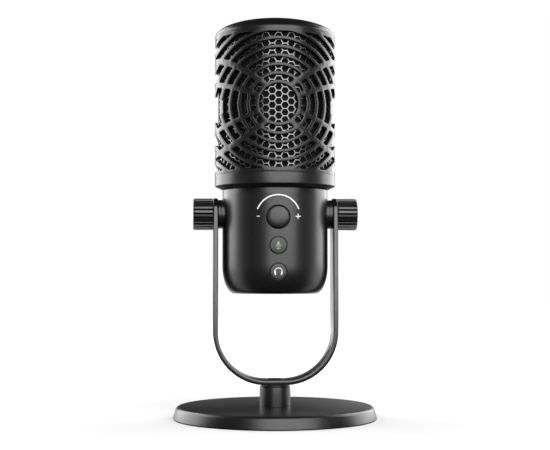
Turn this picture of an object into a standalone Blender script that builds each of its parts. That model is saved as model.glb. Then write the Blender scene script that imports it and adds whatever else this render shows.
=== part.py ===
"""Desktop microphone that tilts in a U-shaped yoke on a round base. Metres, +Z up, front towards -Y."""

import math

import bmesh
import bpy
from mathutils import Matrix

MM = 0.001

# Clearances
SEAT_GAP = 0.3 * MM
RUN_GAP = 0.3 * MM
CUT_OVERRUN = 1.0 * MM
JOIN_OVERLAP = 0.3 * MM

# Facets in a full turn
LARGE_TURN = 36
CAGE_TURN = 32
SMALL_TURN = 16
TINY_TURN = 8

# Base
BASE_RADIUS = 55.0 * MM
BASE_HEIGHT = 6.4 * MM
BASE_DRAFT = 1.7 * MM
BASE_EDGE_RADIUS = 2.0 * MM
PAD_INSET = 3.0 * MM
PAD_THICKNESS = 1.4 * MM
PAD_PROUD = 0.4 * MM
POST_RADIUS = 8.3 * MM
POST_HEIGHT = 10.25 * MM
POST_CHAMFER = 0.5 * MM
STAND_SCREW_RADIUS = 2.5 * MM
STAND_SCREW_LENGTH = 4.5 * MM
STAND_SCREW_HEAD_RADIUS = 4.6 * MM
STAND_SCREW_HEAD_HEIGHT = 1.9 * MM
SWIVEL_WASHER_THICKNESS = 0.5 * MM
SWIVEL_WASHER_INSET = 0.7 * MM

# Yoke
STRAP_THICKNESS = 2.7 * MM
STRAP_WIDTH = 17.3 * MM
STRAP_CORNER_RADIUS = 28.55 * MM
PIVOT_RISE = 91.25 * MM
STRAP_END_ANGLE = math.radians(78)
STRAP_CORNER_STEPS = 10
STRAP_END_STEPS = 7

# Tilt clamp
STUD_RADIUS = 2.75 * MM
STUD_REACH = 23.0 * MM
INSERT_WALL = 1.15 * MM
INSERT_LENGTH = 6.0 * MM
BOSS_RADIUS = 7.8 * MM
BOSS_PROUD = 0.6 * MM
BOSS_DEPTH = 6.6 * MM
TILT_WASHER_THICKNESS = 1.2 * MM
TILT_WASHER_RADIUS = 7.5 * MM
KNOB_RADIUS = 8.5 * MM
KNOB_LENGTH = 10.4 * MM
KNOB_CHAMFER = 0.9 * MM
KNOB_RIBS = 24
KNOB_RIB_DEPTH = 0.6 * MM
KNOB_END_WALL = 3.0 * MM
KNOB_WASHER_THICKNESS = 0.6 * MM
KNOB_WASHER_RADIUS = 6.0 * MM

# Body
BODY_RADIUS = 28.4 * MM
BODY_WALL = 2.0 * MM
BODY_ABOVE_PIVOT = 12.5 * MM
BODY_BELOW_PIVOT = 42.6 * MM
BODY_FOOT_RADIUS = 20.0 * MM
BODY_ROUND_HEIGHT = 14.0 * MM
LEDGE_THICKNESS = 2.4 * MM
LEDGE_WIDTH = 5.0 * MM
BOTTOM_PLATE_THICKNESS = 2.0 * MM

# Small screws inside the body
SMALL_SCREW_RADIUS = 0.9 * MM
SMALL_SCREW_LENGTH = 3.6 * MM
SMALL_SCREW_HEAD_RADIUS = 1.8 * MM
SMALL_SCREW_HEAD_HEIGHT = 1.0 * MM
SMALL_POST_RADIUS = 2.2 * MM

# Ports in the bottom plate
USB_X = -6.5 * MM
JACK_X = 7.0 * MM
PORT_Y = 3.0 * MM
PORT_RECESS = 0.5 * MM
PORT_DEPTH = 7.1 * MM
USB_WIDTH = 8.94 * MM
USB_HEIGHT = 3.26 * MM
USB_SHELL = 0.3 * MM
USB_TONGUE_WIDTH = 6.2 * MM
USB_TONGUE_THICKNESS = 0.7 * MM
USB_BACK_WALL = 1.0 * MM
JACK_RADIUS = 3.0 * MM
JACK_BORE_RADIUS = 1.8 * MM
JACK_BACK_WALL = 0.8 * MM
BOARD_THICKNESS = 1.6 * MM
PORT_BOARD_HALF_WIDTH = 14.5 * MM
PORT_BOARD_FRONT = -8.0 * MM
PORT_BOARD_BACK = 13.5 * MM
PORT_SCREW_X = 12.0 * MM
PORT_SCREW_Y = 11.0 * MM

# Front controls
VOLUME_BELOW_TOP = 15.0 * MM
VOLUME_KNOB_RADIUS = 5.7 * MM
VOLUME_KNOB_PROUD = 1.6 * MM
VOLUME_KNOB_DEPTH = 5.0 * MM
VOLUME_KNOB_CHAMFER = 0.5 * MM
VOLUME_RECESS_GAP = 0.7 * MM
VOLUME_SHAFT_RADIUS = 2.9 * MM
VOLUME_SOCKET_DEPTH = 3.0 * MM
VOLUME_SHAFT_ENGAGEMENT = 2.0 * MM
ENCODER_SIDE = 11.0 * MM
ENCODER_DEPTH = 6.7 * MM
MUTE_BELOW_TOP = 29.7 * MM
MUTE_RADIUS = 4.5 * MM
MONITOR_BELOW_TOP = 43.3 * MM
MONITOR_RADIUS = 4.35 * MM
BUTTON_PROUD = 0.1 * MM
BUTTON_EDGE = 0.3 * MM
BUTTON_TRAVEL = 0.5 * MM
BUTTON_PLAY = 0.1 * MM
BUTTON_FLANGE_WIDTH = 0.9 * MM
BUTTON_FLANGE_THICKNESS = 1.0 * MM
BUTTON_TAIL_RADIUS = 1.8 * MM
SWITCH_SIDE = 6.0 * MM
SWITCH_DEPTH = 3.5 * MM
SWITCH_STEM = 0.8 * MM
SWITCH_STEM_RADIUS = 1.6 * MM
LED_SIDE = 2.0 * MM
LED_DEPTH = 1.2 * MM
BOARD_SETBACK = 15.4 * MM
BOARD_HALF_WIDTH = 15.5 * MM
BOARD_BELOW_TOP = 8.2 * MM
BOARD_ABOVE_BOTTOM = 7.0 * MM
BOARD_SCREW_X = 10.0 * MM

# Head
HEAD_RADIUS = 32.5 * MM
NECK_HEIGHT = 1.9 * MM
BAND_HEIGHT = 6.0 * MM
FLOOR_THICKNESS = 2.5 * MM
WIRE_HOLE_RADIUS = 6.0 * MM
LIP_THICKNESS = 0.5 * MM
LIP_HEIGHT = 1.2 * MM
CAGE_HEIGHT = 74.2 * MM
CAGE_WALL = 1.4 * MM
CAGE_RIM_HEIGHT = 1.5 * MM
MESH_THICKNESS = 0.5 * MM
FOAM_THICKNESS = 3.0 * MM
CAP_RISE = 9.3 * MM
CAP_SKIRT = 0.25 * MM
CAP_WALL = 2.0 * MM
CAP_SPIGOT_HEIGHT = 1.0 * MM
CAP_SPIGOT_WALL = 1.8 * MM
HEAD_SCREW_SETBACK = 0.9 * MM
HEAD_SCREW_RADIUS = 1.3 * MM
HEAD_SCREW_HEAD_RADIUS = 2.5 * MM
HEAD_SCREW_HEAD_HEIGHT = 1.6 * MM
HEAD_SCREW_LENGTH = 9.0 * MM
HEAD_COLUMN_HEIGHT = 7.6 * MM

# Grille web, drawn in front view about its own centre
WEB_CENTRE_RISE = 33.85 * MM
HUB_RADIUS = 10.2 * MM
RING_PITCH = 4.6 * MM
RING_BAR = 1.75 * MM
SIDE_SPOKE_ANGLE = math.radians(21.5)
SIDE_SPOKE_WIDTH = 2.5 * MM
LONG_SPOKE_WIDTH = 3.0 * MM
LONG_SPOKE_START = 3.6 * MM
LONG_SPOKE_SLOPE = 0.93
LONG_SPOKE_SAG = 0.0078 / MM
WEB_CHORD_ERROR = 0.36 * MM

# Capsule
CAPSULE_RADIUS = 8.0 * MM
CAPSULE_THICKNESS = 6.0 * MM
CRADLE_WALL = 2.7 * MM
CRADLE_THICKNESS = 8.0 * MM
CRADLE_FOOT_DROP = 14.0 * MM
CRADLE_FOOT_WIDTH = 9.0 * MM
STEM_RADIUS = 4.0 * MM
STEM_BORE_RADIUS = 1.6 * MM
STEM_FLANGE_RADIUS = 9.0 * MM
STEM_FLANGE_THICKNESS = 2.0 * MM

# Heights above the table
PLATE_BOTTOM = PAD_PROUD
PLATE_TOP = PLATE_BOTTOM + BASE_HEIGHT
PAD_ROOF = PAD_THICKNESS + SEAT_GAP
POST_BOTTOM = PLATE_TOP + SEAT_GAP
POST_TOP = POST_BOTTOM + POST_HEIGHT
SWIVEL_WASHER_BOTTOM = POST_TOP + SEAT_GAP
YOKE_BOTTOM = SWIVEL_WASHER_BOTTOM + SWIVEL_WASHER_THICKNESS + SEAT_GAP

# Places along the tilt axis, outwards from the middle
BOSS_FACE = BODY_RADIUS + BOSS_PROUD
TILT_WASHER_START = BOSS_FACE + SEAT_GAP
STRAP_INSIDE = TILT_WASHER_START + TILT_WASHER_THICKNESS + SEAT_GAP
STRAP_OUTSIDE = STRAP_INSIDE + STRAP_THICKNESS
KNOB_START = STRAP_OUTSIDE + SEAT_GAP
INSERT_BORE_RADIUS = STUD_RADIUS + RUN_GAP
INSERT_RADIUS = INSERT_BORE_RADIUS + INSERT_WALL
CLAMP_HOLE_RADIUS = STUD_RADIUS + 2 * RUN_GAP

# Heights above the tilt axis
BODY_TOP = BODY_ABOVE_PIVOT
BODY_BOTTOM = -BODY_BELOW_PIVOT
BODY_INSIDE_RADIUS = BODY_RADIUS - BODY_WALL
PLATE_RECESS = BOTTOM_PLATE_THICKNESS + SEAT_GAP
LEDGE_TOP = BODY_BOTTOM + PLATE_RECESS + LEDGE_THICKNESS
PORT_MOUTH = BODY_BOTTOM + PORT_RECESS
PORT_BOARD_BOTTOM = PORT_MOUTH + PORT_DEPTH + SEAT_GAP
VOLUME_HEIGHT = BODY_TOP - VOLUME_BELOW_TOP
MUTE_HEIGHT = BODY_TOP - MUTE_BELOW_TOP
MONITOR_HEIGHT = BODY_TOP - MONITOR_BELOW_TOP
BOARD_SCREW_HEIGHT = (MUTE_HEIGHT + MONITOR_HEIGHT) / 2
NECK_BOTTOM = BODY_TOP + SEAT_GAP
BAND_BOTTOM = NECK_BOTTOM + NECK_HEIGHT
BAND_TOP = BAND_BOTTOM + BAND_HEIGHT
FLOOR_TOP = NECK_BOTTOM + FLOOR_THICKNESS
CAGE_BOTTOM = BAND_TOP + SEAT_GAP
CAGE_TOP = CAGE_BOTTOM + CAGE_HEIGHT
WINDOW_BOTTOM = CAGE_BOTTOM + CAGE_RIM_HEIGHT
WINDOW_TOP = CAGE_TOP - CAGE_RIM_HEIGHT
WEB_CENTRE = WINDOW_BOTTOM + WEB_CENTRE_RISE
CAP_BOTTOM = CAGE_TOP + SEAT_GAP
SPIGOT_BOTTOM = CAP_BOTTOM - CAP_SPIGOT_HEIGHT
LINER_BOTTOM = FLOOR_TOP + SEAT_GAP
LINER_TOP = SPIGOT_BOTTOM - SEAT_GAP

# Radii of the head's layers, from the outside in
CAGE_INSIDE = HEAD_RADIUS - CAGE_WALL
MESH_OUTSIDE = CAGE_INSIDE - SEAT_GAP
MESH_INSIDE = MESH_OUTSIDE - MESH_THICKNESS
FOAM_OUTSIDE = MESH_INSIDE - SEAT_GAP
FOAM_INSIDE = FOAM_OUTSIDE - FOAM_THICKNESS
HEAD_SCREW_CIRCLE = min(FOAM_INSIDE, BODY_INSIDE_RADIUS) - HEAD_SCREW_HEAD_RADIUS - HEAD_SCREW_SETBACK

AXES = {
    "Z": Matrix(),
    "X": Matrix.Rotation(math.radians(90), 4, "Y"),
    "-X": Matrix.Rotation(math.radians(-90), 4, "Y"),
    "Y": Matrix.Rotation(math.radians(-90), 4, "X"),
    "-Y": Matrix.Rotation(math.radians(90), 4, "X"),
}
SIDES = (("left", -1, "-X"), ("right", 1, "X"))


def turned(profile, facets, axis="Z", at=(0, 0, 0)):
    """A closed solid turned from (radius, height) points. A profile may start and end on the axis."""
    shape = bmesh.new()
    points = [shape.verts.new((radius, 0, height)) for radius, height in profile]
    chain = points if profile[0][0] == 0 else points + points[:1]
    edges = [shape.edges.new(pair) for pair in zip(chain, chain[1:])]
    bmesh.ops.spin(
        shape,
        geom=points + edges,
        cent=(0, 0, 0),
        axis=(0, 0, 1),
        angle=math.tau,
        steps=facets,
        use_merge=True,
    )
    bmesh.ops.remove_doubles(shape, verts=shape.verts, dist=1e-3 * MM)
    return placed(shape, axis, at)


def lofted(rings, axis="Z", at=(0, 0, 0)):
    """A closed solid skinned over rings with the same number of points."""
    shape = bmesh.new()
    loops = [[shape.verts.new(point) for point in ring] for ring in rings]
    for low, high in zip(loops, loops[1:]):
        for i in range(len(low)):
            shape.faces.new((low[i - 1], low[i], high[i], high[i - 1]))
    shape.faces.new(loops[0])
    shape.faces.new(loops[-1])
    return placed(shape, axis, at)


def prism(outline, low, high, axis="Z", at=(0, 0, 0)):
    """A flat outline of (x, y) points pulled from one height to another."""
    return lofted([[(x, y, height) for x, y in outline] for height in (low, high)], axis, at)


def rod(radius, low, high, facets, axis="Z", at=(0, 0, 0)):
    return turned([(0, high), (radius, high), (radius, low), (0, low)], facets, axis, at)


def tube(outside, inside, low, high, facets, axis="Z", at=(0, 0, 0)):
    profile = [(inside, high), (outside, high), (outside, low), (inside, low)]
    return turned(profile, facets, axis, at)


def block(low, high):
    corners = [(low[0], low[1]), (high[0], low[1]), (high[0], high[1]), (low[0], high[1])]
    return prism(corners, low[2], high[2])


def placed(shape, axis, at):
    bmesh.ops.recalc_face_normals(shape, faces=shape.faces)
    bmesh.ops.transform(shape, matrix=Matrix.Translation(at) @ AXES[axis], verts=shape.verts)
    return shape


def arc(centre, radii, start, end, steps):
    """Points of an elliptical arc, from one angle to another."""
    angles = [start + (end - start) * i / steps for i in range(steps + 1)]
    return [(centre[0] + radii[0] * math.cos(a), centre[1] + radii[1] * math.sin(a)) for a in angles]


def stadium(width, height, steps=4):
    """The outline of a slot with round ends, longer along x."""
    half = (width - height) / 2
    radii = (height / 2, height / 2)
    right = arc((half, 0), radii, -math.pi / 2, math.pi / 2, steps)
    left = arc((-half, 0), radii, math.pi / 2, 3 * math.pi / 2, steps)
    return right + left


def finish(name, colour, roughness, metallic=0.0):
    material = bpy.data.materials.new(name)
    material.use_nodes = True
    shader = material.node_tree.nodes["Principled BSDF"]
    shader.inputs["Base Color"].default_value = (*colour, 1)
    shader.inputs["Roughness"].default_value = roughness
    shader.inputs["Metallic"].default_value = metallic
    return material


def axis_empty(name, parent, at):
    empty = bpy.data.objects.new(name, None)
    empty.empty_display_size = 10 * MM
    empty.parent = parent
    empty.location = at
    bpy.context.scene.collection.objects.link(empty)
    return empty


def piece(name, shapes, material, parent=None, at=(0, 0, 0)):
    """One object that holds the given shapes, smooth except at its corners."""
    mesh = bpy.data.meshes.new(name)
    whole = bmesh.new()
    for shape in shapes:
        shape.to_mesh(mesh)
        shape.free()
        whole.from_mesh(mesh)
    whole.to_mesh(mesh)
    whole.free()
    mesh.shade_smooth()
    mesh.set_sharp_from_angle(angle=math.radians(35))
    mesh.materials.append(material)
    made = bpy.data.objects.new(name, mesh)
    made.parent = parent
    made.location = at
    bpy.context.scene.collection.objects.link(made)
    return made


def boolean(target, operation, name, shapes):
    """Joins the shapes to a piece, cuts them out of it, or keeps what both share."""
    tool = piece(name, shapes, target.data.materials[0], target.parent, target.location)
    tool.hide_render = True
    tool.display_type = "WIRE"
    modifier = target.modifiers.new(name, "BOOLEAN")
    modifier.operation = operation
    modifier.solver = "EXACT"
    modifier.object = tool
    return tool


def pan_screw(radius, length, head_radius, head_height, axis="Z", at=(0, 0, 0)):
    """A screw that points down its axis, with the underside of its head at the origin."""
    profile = [
        (0, head_height),
        (0.7 * head_radius, head_height),
        (head_radius, 0.45 * head_height),
        (head_radius, 0),
        (radius, 0),
        (radius, -length),
        (0, -length),
    ]
    return turned(profile, TINY_TURN, axis, at)


def small_screw(axis, at):
    sizes = (SMALL_SCREW_RADIUS, SMALL_SCREW_LENGTH, SMALL_SCREW_HEAD_RADIUS, SMALL_SCREW_HEAD_HEIGHT)
    return pan_screw(*sizes, axis, at)


for old in list(bpy.data.objects):
    bpy.data.objects.remove(old, do_unlink=True)

# Finishes
SATIN_STEEL = finish("satin_black_powder_coat", (0.022, 0.022, 0.023), 0.38)
BLACK_ABS = finish("satin_black_abs", (0.018, 0.018, 0.019), 0.35)
KNOB_ABS = finish("ribbed_black_abs", (0.015, 0.015, 0.016), 0.42)
BUTTON_ABS = finish("dark_grey_abs", (0.045, 0.045, 0.047), 0.4)
BLACK_RUBBER = finish("black_rubber", (0.012, 0.012, 0.012), 0.8)
BLACK_NYLON = finish("black_nylon", (0.014, 0.014, 0.014), 0.55)
MESH_STEEL = finish("black_perforated_steel", (0.03, 0.03, 0.032), 0.35, 0.6)
BLACK_FOAM = finish("black_open_cell_foam", (0.01, 0.01, 0.01), 0.95)
ZINC_STEEL = finish("zinc_plated_steel", (0.55, 0.56, 0.58), 0.35, 1.0)
BRASS = finish("turned_brass", (0.72, 0.52, 0.22), 0.3, 1.0)
BOARD_GREEN = finish("green_solder_mask", (0.02, 0.16, 0.07), 0.4)
NICKEL = finish("nickel_plated_shell", (0.62, 0.6, 0.56), 0.3, 1.0)
LED_RESIN = finish("clear_led_resin", (0.75, 0.85, 0.75), 0.2)

# Base plate: a turned steel disc with a pocket for its pad and a sunk seat for its screw
HEAD_SEAT = PAD_ROOF + STAND_SCREW_HEAD_HEIGHT + SEAT_GAP
STAND_HOLE_RADIUS = STAND_SCREW_RADIUS + RUN_GAP
edge_centre = (BASE_RADIUS - BASE_DRAFT - BASE_EDGE_RADIUS, PLATE_TOP - BASE_EDGE_RADIUS)
edge = arc(edge_centre, (BASE_EDGE_RADIUS, BASE_EDGE_RADIUS), math.pi / 2, 0, 4)
pad_radius = BASE_RADIUS - PAD_INSET
seat_radius = STAND_SCREW_HEAD_RADIUS + SEAT_GAP
base_profile = [(STAND_HOLE_RADIUS, PLATE_TOP), *edge, (BASE_RADIUS, PLATE_BOTTOM)]
base_profile += [(pad_radius + SEAT_GAP, PLATE_BOTTOM), (pad_radius + SEAT_GAP, PAD_ROOF)]
base_profile += [(seat_radius, PAD_ROOF), (seat_radius, HEAD_SEAT), (STAND_HOLE_RADIUS, HEAD_SEAT)]
piece("base_plate", [turned(base_profile, LARGE_TURN)], SATIN_STEEL)
piece("base_pad", [rod(pad_radius, 0, PAD_THICKNESS, LARGE_TURN)], BLACK_RUBBER)
base_screw = pan_screw(
    STAND_SCREW_RADIUS,
    PLATE_TOP - HEAD_SEAT + STAND_SCREW_LENGTH,
    STAND_SCREW_HEAD_RADIUS,
    STAND_SCREW_HEAD_HEIGHT - SEAT_GAP,
)
turn_over = Matrix.Rotation(math.pi, 4, "X")
bmesh.ops.transform(base_screw, matrix=turn_over, verts=base_screw.verts)
piece("base_screw", [base_screw], ZINC_STEEL, at=(0, 0, HEAD_SEAT - SEAT_GAP))

# Base post: a turned tube, screwed to the plate from below and to the yoke from above
post_profile = [
    (STAND_HOLE_RADIUS, POST_TOP),
    (POST_RADIUS - POST_CHAMFER, POST_TOP),
    (POST_RADIUS, POST_TOP - POST_CHAMFER),
    (POST_RADIUS, POST_BOTTOM),
    (STAND_HOLE_RADIUS, POST_BOTTOM),
]
piece("base_post", [turned(post_profile, SMALL_TURN)], SATIN_STEEL)
washer_sizes = (POST_RADIUS - SWIVEL_WASHER_INSET, STAND_HOLE_RADIUS)
swivel_washer = tube(*washer_sizes, 0, SWIVEL_WASHER_THICKNESS, SMALL_TURN)
piece("swivel_washer", [swivel_washer], BLACK_NYLON, at=(0, 0, SWIVEL_WASHER_BOTTOM))

# Yoke: one bent strap that turns on the post, with a sunk screw in its floor and a clamp hole in each leg
yoke_axis = axis_empty("yoke_axis", None, (0, 0, YOKE_BOTTOM))
strap_half = STRAP_WIDTH / 2
bend_radius = STRAP_CORNER_RADIUS - STRAP_THICKNESS / 2
leg_middle = STRAP_INSIDE + STRAP_THICKNESS / 2
stations = []
for x, z in arc((0, 0), (1, 1), -math.pi / 2, 0, STRAP_CORNER_STEPS):
    middle = (leg_middle - bend_radius * (1 - x), STRAP_CORNER_RADIUS + bend_radius * z)
    stations.append((middle, (x, z), strap_half))
for width, rise in arc((0, 0), (strap_half, strap_half), 0, STRAP_END_ANGLE, STRAP_END_STEPS):
    stations.append(((leg_middle, PIVOT_RISE + rise), (1, 0), width))


def strap_ring(station, mirror):
    """The four corners of the strap at one place along it."""
    (x, z), (out_x, out_z), half_width = station
    ring = []
    for side, depth in ((1, -1), (1, 1), (-1, 1), (-1, -1)):
        shift = side * STRAP_THICKNESS / 2
        ring.append((mirror * (x + shift * out_x), depth * half_width, z + shift * out_z))
    return ring


strap_rings = [strap_ring(s, -1) for s in reversed(stations)] + [strap_ring(s, 1) for s in stations]
yoke = piece("yoke", [lofted(strap_rings)], SATIN_STEEL, yoke_axis)
sunk_head = STAND_SCREW_HEAD_RADIUS - STAND_SCREW_RADIUS
sink_depth = min(sunk_head, STRAP_THICKNESS - SEAT_GAP)
sink_profile = [
    (0, STRAP_THICKNESS + CUT_OVERRUN),
    (STAND_SCREW_HEAD_RADIUS + 2 * RUN_GAP, STRAP_THICKNESS + CUT_OVERRUN),
    (STAND_SCREW_HEAD_RADIUS + 2 * RUN_GAP, STRAP_THICKNESS),
    (STAND_HOLE_RADIUS + RUN_GAP, STRAP_THICKNESS - sink_depth),
    (STAND_HOLE_RADIUS + RUN_GAP, -CUT_OVERRUN),
    (0, -CUT_OVERRUN),
]
clamp_reach = STRAP_OUTSIDE + CUT_OVERRUN
clamp_hole = rod(CLAMP_HOLE_RADIUS, -clamp_reach, clamp_reach, SMALL_TURN, "X", (0, 0, PIVOT_RISE))
boolean(yoke, "DIFFERENCE", "yoke_holes", [turned(sink_profile, SMALL_TURN), clamp_hole])
yoke_screw_profile = [
    (0, STRAP_THICKNESS - SEAT_GAP),
    (STAND_SCREW_HEAD_RADIUS, STRAP_THICKNESS - SEAT_GAP),
    (STAND_SCREW_RADIUS, STRAP_THICKNESS - SEAT_GAP - sink_depth),
    (STAND_SCREW_RADIUS, POST_TOP - YOKE_BOTTOM - STAND_SCREW_LENGTH),
    (0, POST_TOP - YOKE_BOTTOM - STAND_SCREW_LENGTH),
]
piece("yoke_screw", [turned(yoke_screw_profile, SMALL_TURN)], ZINC_STEEL, at=(0, 0, YOKE_BOTTOM))

# Everything from here on tilts about the axis through the two legs
tilt_axis = axis_empty("tilt_axis", yoke_axis, (0, 0, PIVOT_RISE))


def on_circle(radius, angle):
    return radius * math.cos(angle), radius * math.sin(angle)


def knob_ring(radius, height):
    """One ring of the ribbed grip, two points on each rib and two in each groove."""
    ring = []
    for i in range(4 * KNOB_RIBS):
        depth = KNOB_RIB_DEPTH if i % 4 in (0, 1) else 0
        ring.append((*on_circle(radius - depth, math.tau * i / (4 * KNOB_RIBS)), height))
    return ring


# Tilt clamp: on each side a ribbed knob, its stud and washer, the spacer washer and the insert in the body
for side, sign, axis in SIDES:
    clamp_axis = axis_empty(f"clamp_axis_{side}", tilt_axis, (0, 0, 0))
    knob_end = KNOB_START + KNOB_LENGTH
    knob_rings = [
        knob_ring(KNOB_RADIUS, KNOB_START),
        knob_ring(KNOB_RADIUS, knob_end - KNOB_CHAMFER),
        knob_ring(KNOB_RADIUS - KNOB_CHAMFER, knob_end),
    ]
    knob = piece(f"knob_{side}", [lofted(knob_rings, axis)], KNOB_ABS, clamp_axis)
    bore = STUD_RADIUS + SEAT_GAP
    washer_pocket = KNOB_WASHER_RADIUS + SEAT_GAP
    pocket_roof = KNOB_START + KNOB_WASHER_THICKNESS + SEAT_GAP
    stud_end = knob_end - KNOB_END_WALL
    knob_bore = [
        (0, stud_end),
        (bore, stud_end),
        (bore, pocket_roof),
        (washer_pocket, pocket_roof),
        (washer_pocket, KNOB_START - CUT_OVERRUN),
        (0, KNOB_START - CUT_OVERRUN),
    ]
    boolean(knob, "DIFFERENCE", f"knob_bore_{side}", [turned(knob_bore, SMALL_TURN, axis)])
    stud = rod(STUD_RADIUS, stud_end - SEAT_GAP - STUD_REACH, stud_end - SEAT_GAP, SMALL_TURN, axis)
    piece(f"knob_stud_{side}", [stud], ZINC_STEEL, clamp_axis)
    washer_end = KNOB_START + KNOB_WASHER_THICKNESS
    washer = tube(KNOB_WASHER_RADIUS, CLAMP_HOLE_RADIUS, KNOB_START, washer_end, SMALL_TURN, axis)
    piece(f"knob_washer_{side}", [washer], BLACK_NYLON, clamp_axis)
    spacer_end = TILT_WASHER_START + TILT_WASHER_THICKNESS
    spacer = tube(TILT_WASHER_RADIUS, CLAMP_HOLE_RADIUS, TILT_WASHER_START, spacer_end, SMALL_TURN, axis)
    piece(f"tilt_washer_{side}", [spacer], BLACK_RUBBER, clamp_axis)
    insert_end = BOSS_FACE - SEAT_GAP
    insert_start = insert_end - INSERT_LENGTH
    insert = tube(INSERT_RADIUS, INSERT_BORE_RADIUS, insert_start, insert_end, SMALL_TURN, axis)
    piece(f"pivot_insert_{side}", [insert], BRASS, clamp_axis)

# Body shell: a moulded cup with clamp bosses, screw columns and control holes, open at both ends
round_centre = BODY_BOTTOM + BODY_ROUND_HEIGHT
foot_width = BODY_RADIUS - BODY_FOOT_RADIUS
foot_curve = arc((BODY_FOOT_RADIUS, round_centre), (foot_width, BODY_ROUND_HEIGHT), 0, -math.pi / 2, 5)
inside_radii = (foot_width - BODY_WALL, round_centre - LEDGE_TOP)
inside_curve = arc((BODY_FOOT_RADIUS, round_centre), inside_radii, -math.pi / 2, 0, 3)
ledge_inside = BODY_FOOT_RADIUS - LEDGE_WIDTH
ledge_bottom = BODY_BOTTOM + PLATE_RECESS
shell_profile = [(BODY_RADIUS, BODY_TOP), *foot_curve, (BODY_FOOT_RADIUS, ledge_bottom)]
shell_profile += [(ledge_inside, ledge_bottom), (ledge_inside, LEDGE_TOP), *inside_curve]
shell_profile += [(BODY_INSIDE_RADIUS, BODY_TOP)]
body_shell = piece("body_shell", [turned(shell_profile, LARGE_TURN)], BLACK_ABS, tilt_axis)


def inside_radius(height):
    """The radius of the body's inner wall, which draws in towards the foot."""
    below = min(max(0, round_centre - height) / inside_radii[1], 1)
    return BODY_FOOT_RADIUS + inside_radii[0] * math.sqrt(1 - below**2)


def inside_depth(radius, height):
    """How far in front of the middle a disc that faces the front meets the inner wall."""
    rim = [on_circle(radius, math.tau * i / SMALL_TURN) for i in range(SMALL_TURN)]
    return min(math.sqrt(inside_radius(height + z) ** 2 - x**2) for x, z in rim)


board_front = BOARD_SETBACK - BODY_RADIUS
head_screw_places = [on_circle(HEAD_SCREW_CIRCLE, math.radians(a)) for a in (90, 210, 330)]
column_radius = BODY_INSIDE_RADIUS - HEAD_SCREW_CIRCLE + 2 * JOIN_OVERLAP
column_top = BODY_TOP - SEAT_GAP
near_side = BOARD_SCREW_X - SMALL_POST_RADIUS
board_post_end = math.sqrt(BODY_INSIDE_RADIUS**2 - near_side**2) + JOIN_OVERLAP / 2
board_post_start = SEAT_GAP - board_front
port_post_top = PORT_BOARD_BOTTOM - SEAT_GAP
plate_screw_circle = BODY_FOOT_RADIUS - LEDGE_WIDTH / 2
additions = []
cuts = []
for side, sign, axis in SIDES:
    board_place = (sign * BOARD_SCREW_X, 0, BOARD_SCREW_HEIGHT)
    port_place = (sign * PORT_SCREW_X, PORT_SCREW_Y, 0)
    plate_place = (sign * plate_screw_circle, 0, 0)
    hole = SMALL_SCREW_RADIUS + RUN_GAP
    blind_end = board_post_start + SMALL_SCREW_LENGTH
    boss_start = BOSS_FACE - BOSS_DEPTH
    additions += [
        rod(BOSS_RADIUS, boss_start, BOSS_FACE, SMALL_TURN, axis),
        rod(SMALL_POST_RADIUS, board_post_start, board_post_end, TINY_TURN, "-Y", board_place),
        rod(SMALL_POST_RADIUS, LEDGE_TOP - JOIN_OVERLAP, port_post_top, TINY_TURN, "Z", port_place),
    ]
    port_hole_bottom = ledge_bottom - CUT_OVERRUN
    cuts += [
        rod(INSERT_RADIUS + SEAT_GAP, boss_start - CUT_OVERRUN, BOSS_FACE + CUT_OVERRUN, SMALL_TURN, axis),
        rod(hole, board_post_start - CUT_OVERRUN, blind_end, TINY_TURN, "-Y", board_place),
        rod(hole, port_hole_bottom, port_post_top + CUT_OVERRUN, TINY_TURN, "Z", port_place),
        rod(hole, port_hole_bottom, LEDGE_TOP + CUT_OVERRUN, TINY_TURN, "Z", plate_place),
    ]
for x, y in head_screw_places:
    hole = HEAD_SCREW_RADIUS + RUN_GAP
    column_bottom = column_top - HEAD_COLUMN_HEIGHT
    additions.append(rod(column_radius, column_bottom, column_top, TINY_TURN, "Z", (x, y, 0)))
    cuts.append(rod(hole, column_bottom - CUT_OVERRUN, column_top + CUT_OVERRUN, TINY_TURN, "Z", (x, y, 0)))
controls = (
    (VOLUME_KNOB_RADIUS + VOLUME_RECESS_GAP, VOLUME_HEIGHT),
    (MUTE_RADIUS + RUN_GAP, MUTE_HEIGHT),
    (MONITOR_RADIUS + RUN_GAP, MONITOR_HEIGHT),
)
hole_start = BODY_INSIDE_RADIUS - 2 * BODY_WALL
for radius, height in controls:
    reach = BODY_RADIUS + CUT_OVERRUN
    cuts.append(rod(radius, hole_start, reach, SMALL_TURN, "-Y", (0, 0, height)))
boolean(body_shell, "UNION", "body_bosses", additions)
boolean(body_shell, "DIFFERENCE", "body_holes", cuts)

# Bottom plate: a disc in the foot of the body, with the two port openings
plate_radius = BODY_FOOT_RADIUS - SEAT_GAP
plate_top = BODY_BOTTOM + BOTTOM_PLATE_THICKNESS
plate_disc = rod(plate_radius, BODY_BOTTOM, plate_top, LARGE_TURN)
bottom_plate = piece("bottom_plate", [plate_disc], BLACK_ABS, tilt_axis)
plate_cuts = [
    prism(
        stadium(USB_WIDTH + 2 * SEAT_GAP, USB_HEIGHT + 2 * SEAT_GAP),
        BODY_BOTTOM - CUT_OVERRUN,
        plate_top + CUT_OVERRUN,
        "Z",
        (USB_X, PORT_Y, 0),
    ),
    rod(
        JACK_RADIUS + SEAT_GAP,
        BODY_BOTTOM - CUT_OVERRUN,
        plate_top + CUT_OVERRUN,
        SMALL_TURN,
        "Z",
        (JACK_X, PORT_Y, 0),
    ),
]
screw_seat = BODY_BOTTOM + SMALL_SCREW_HEAD_HEIGHT + SEAT_GAP
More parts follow.
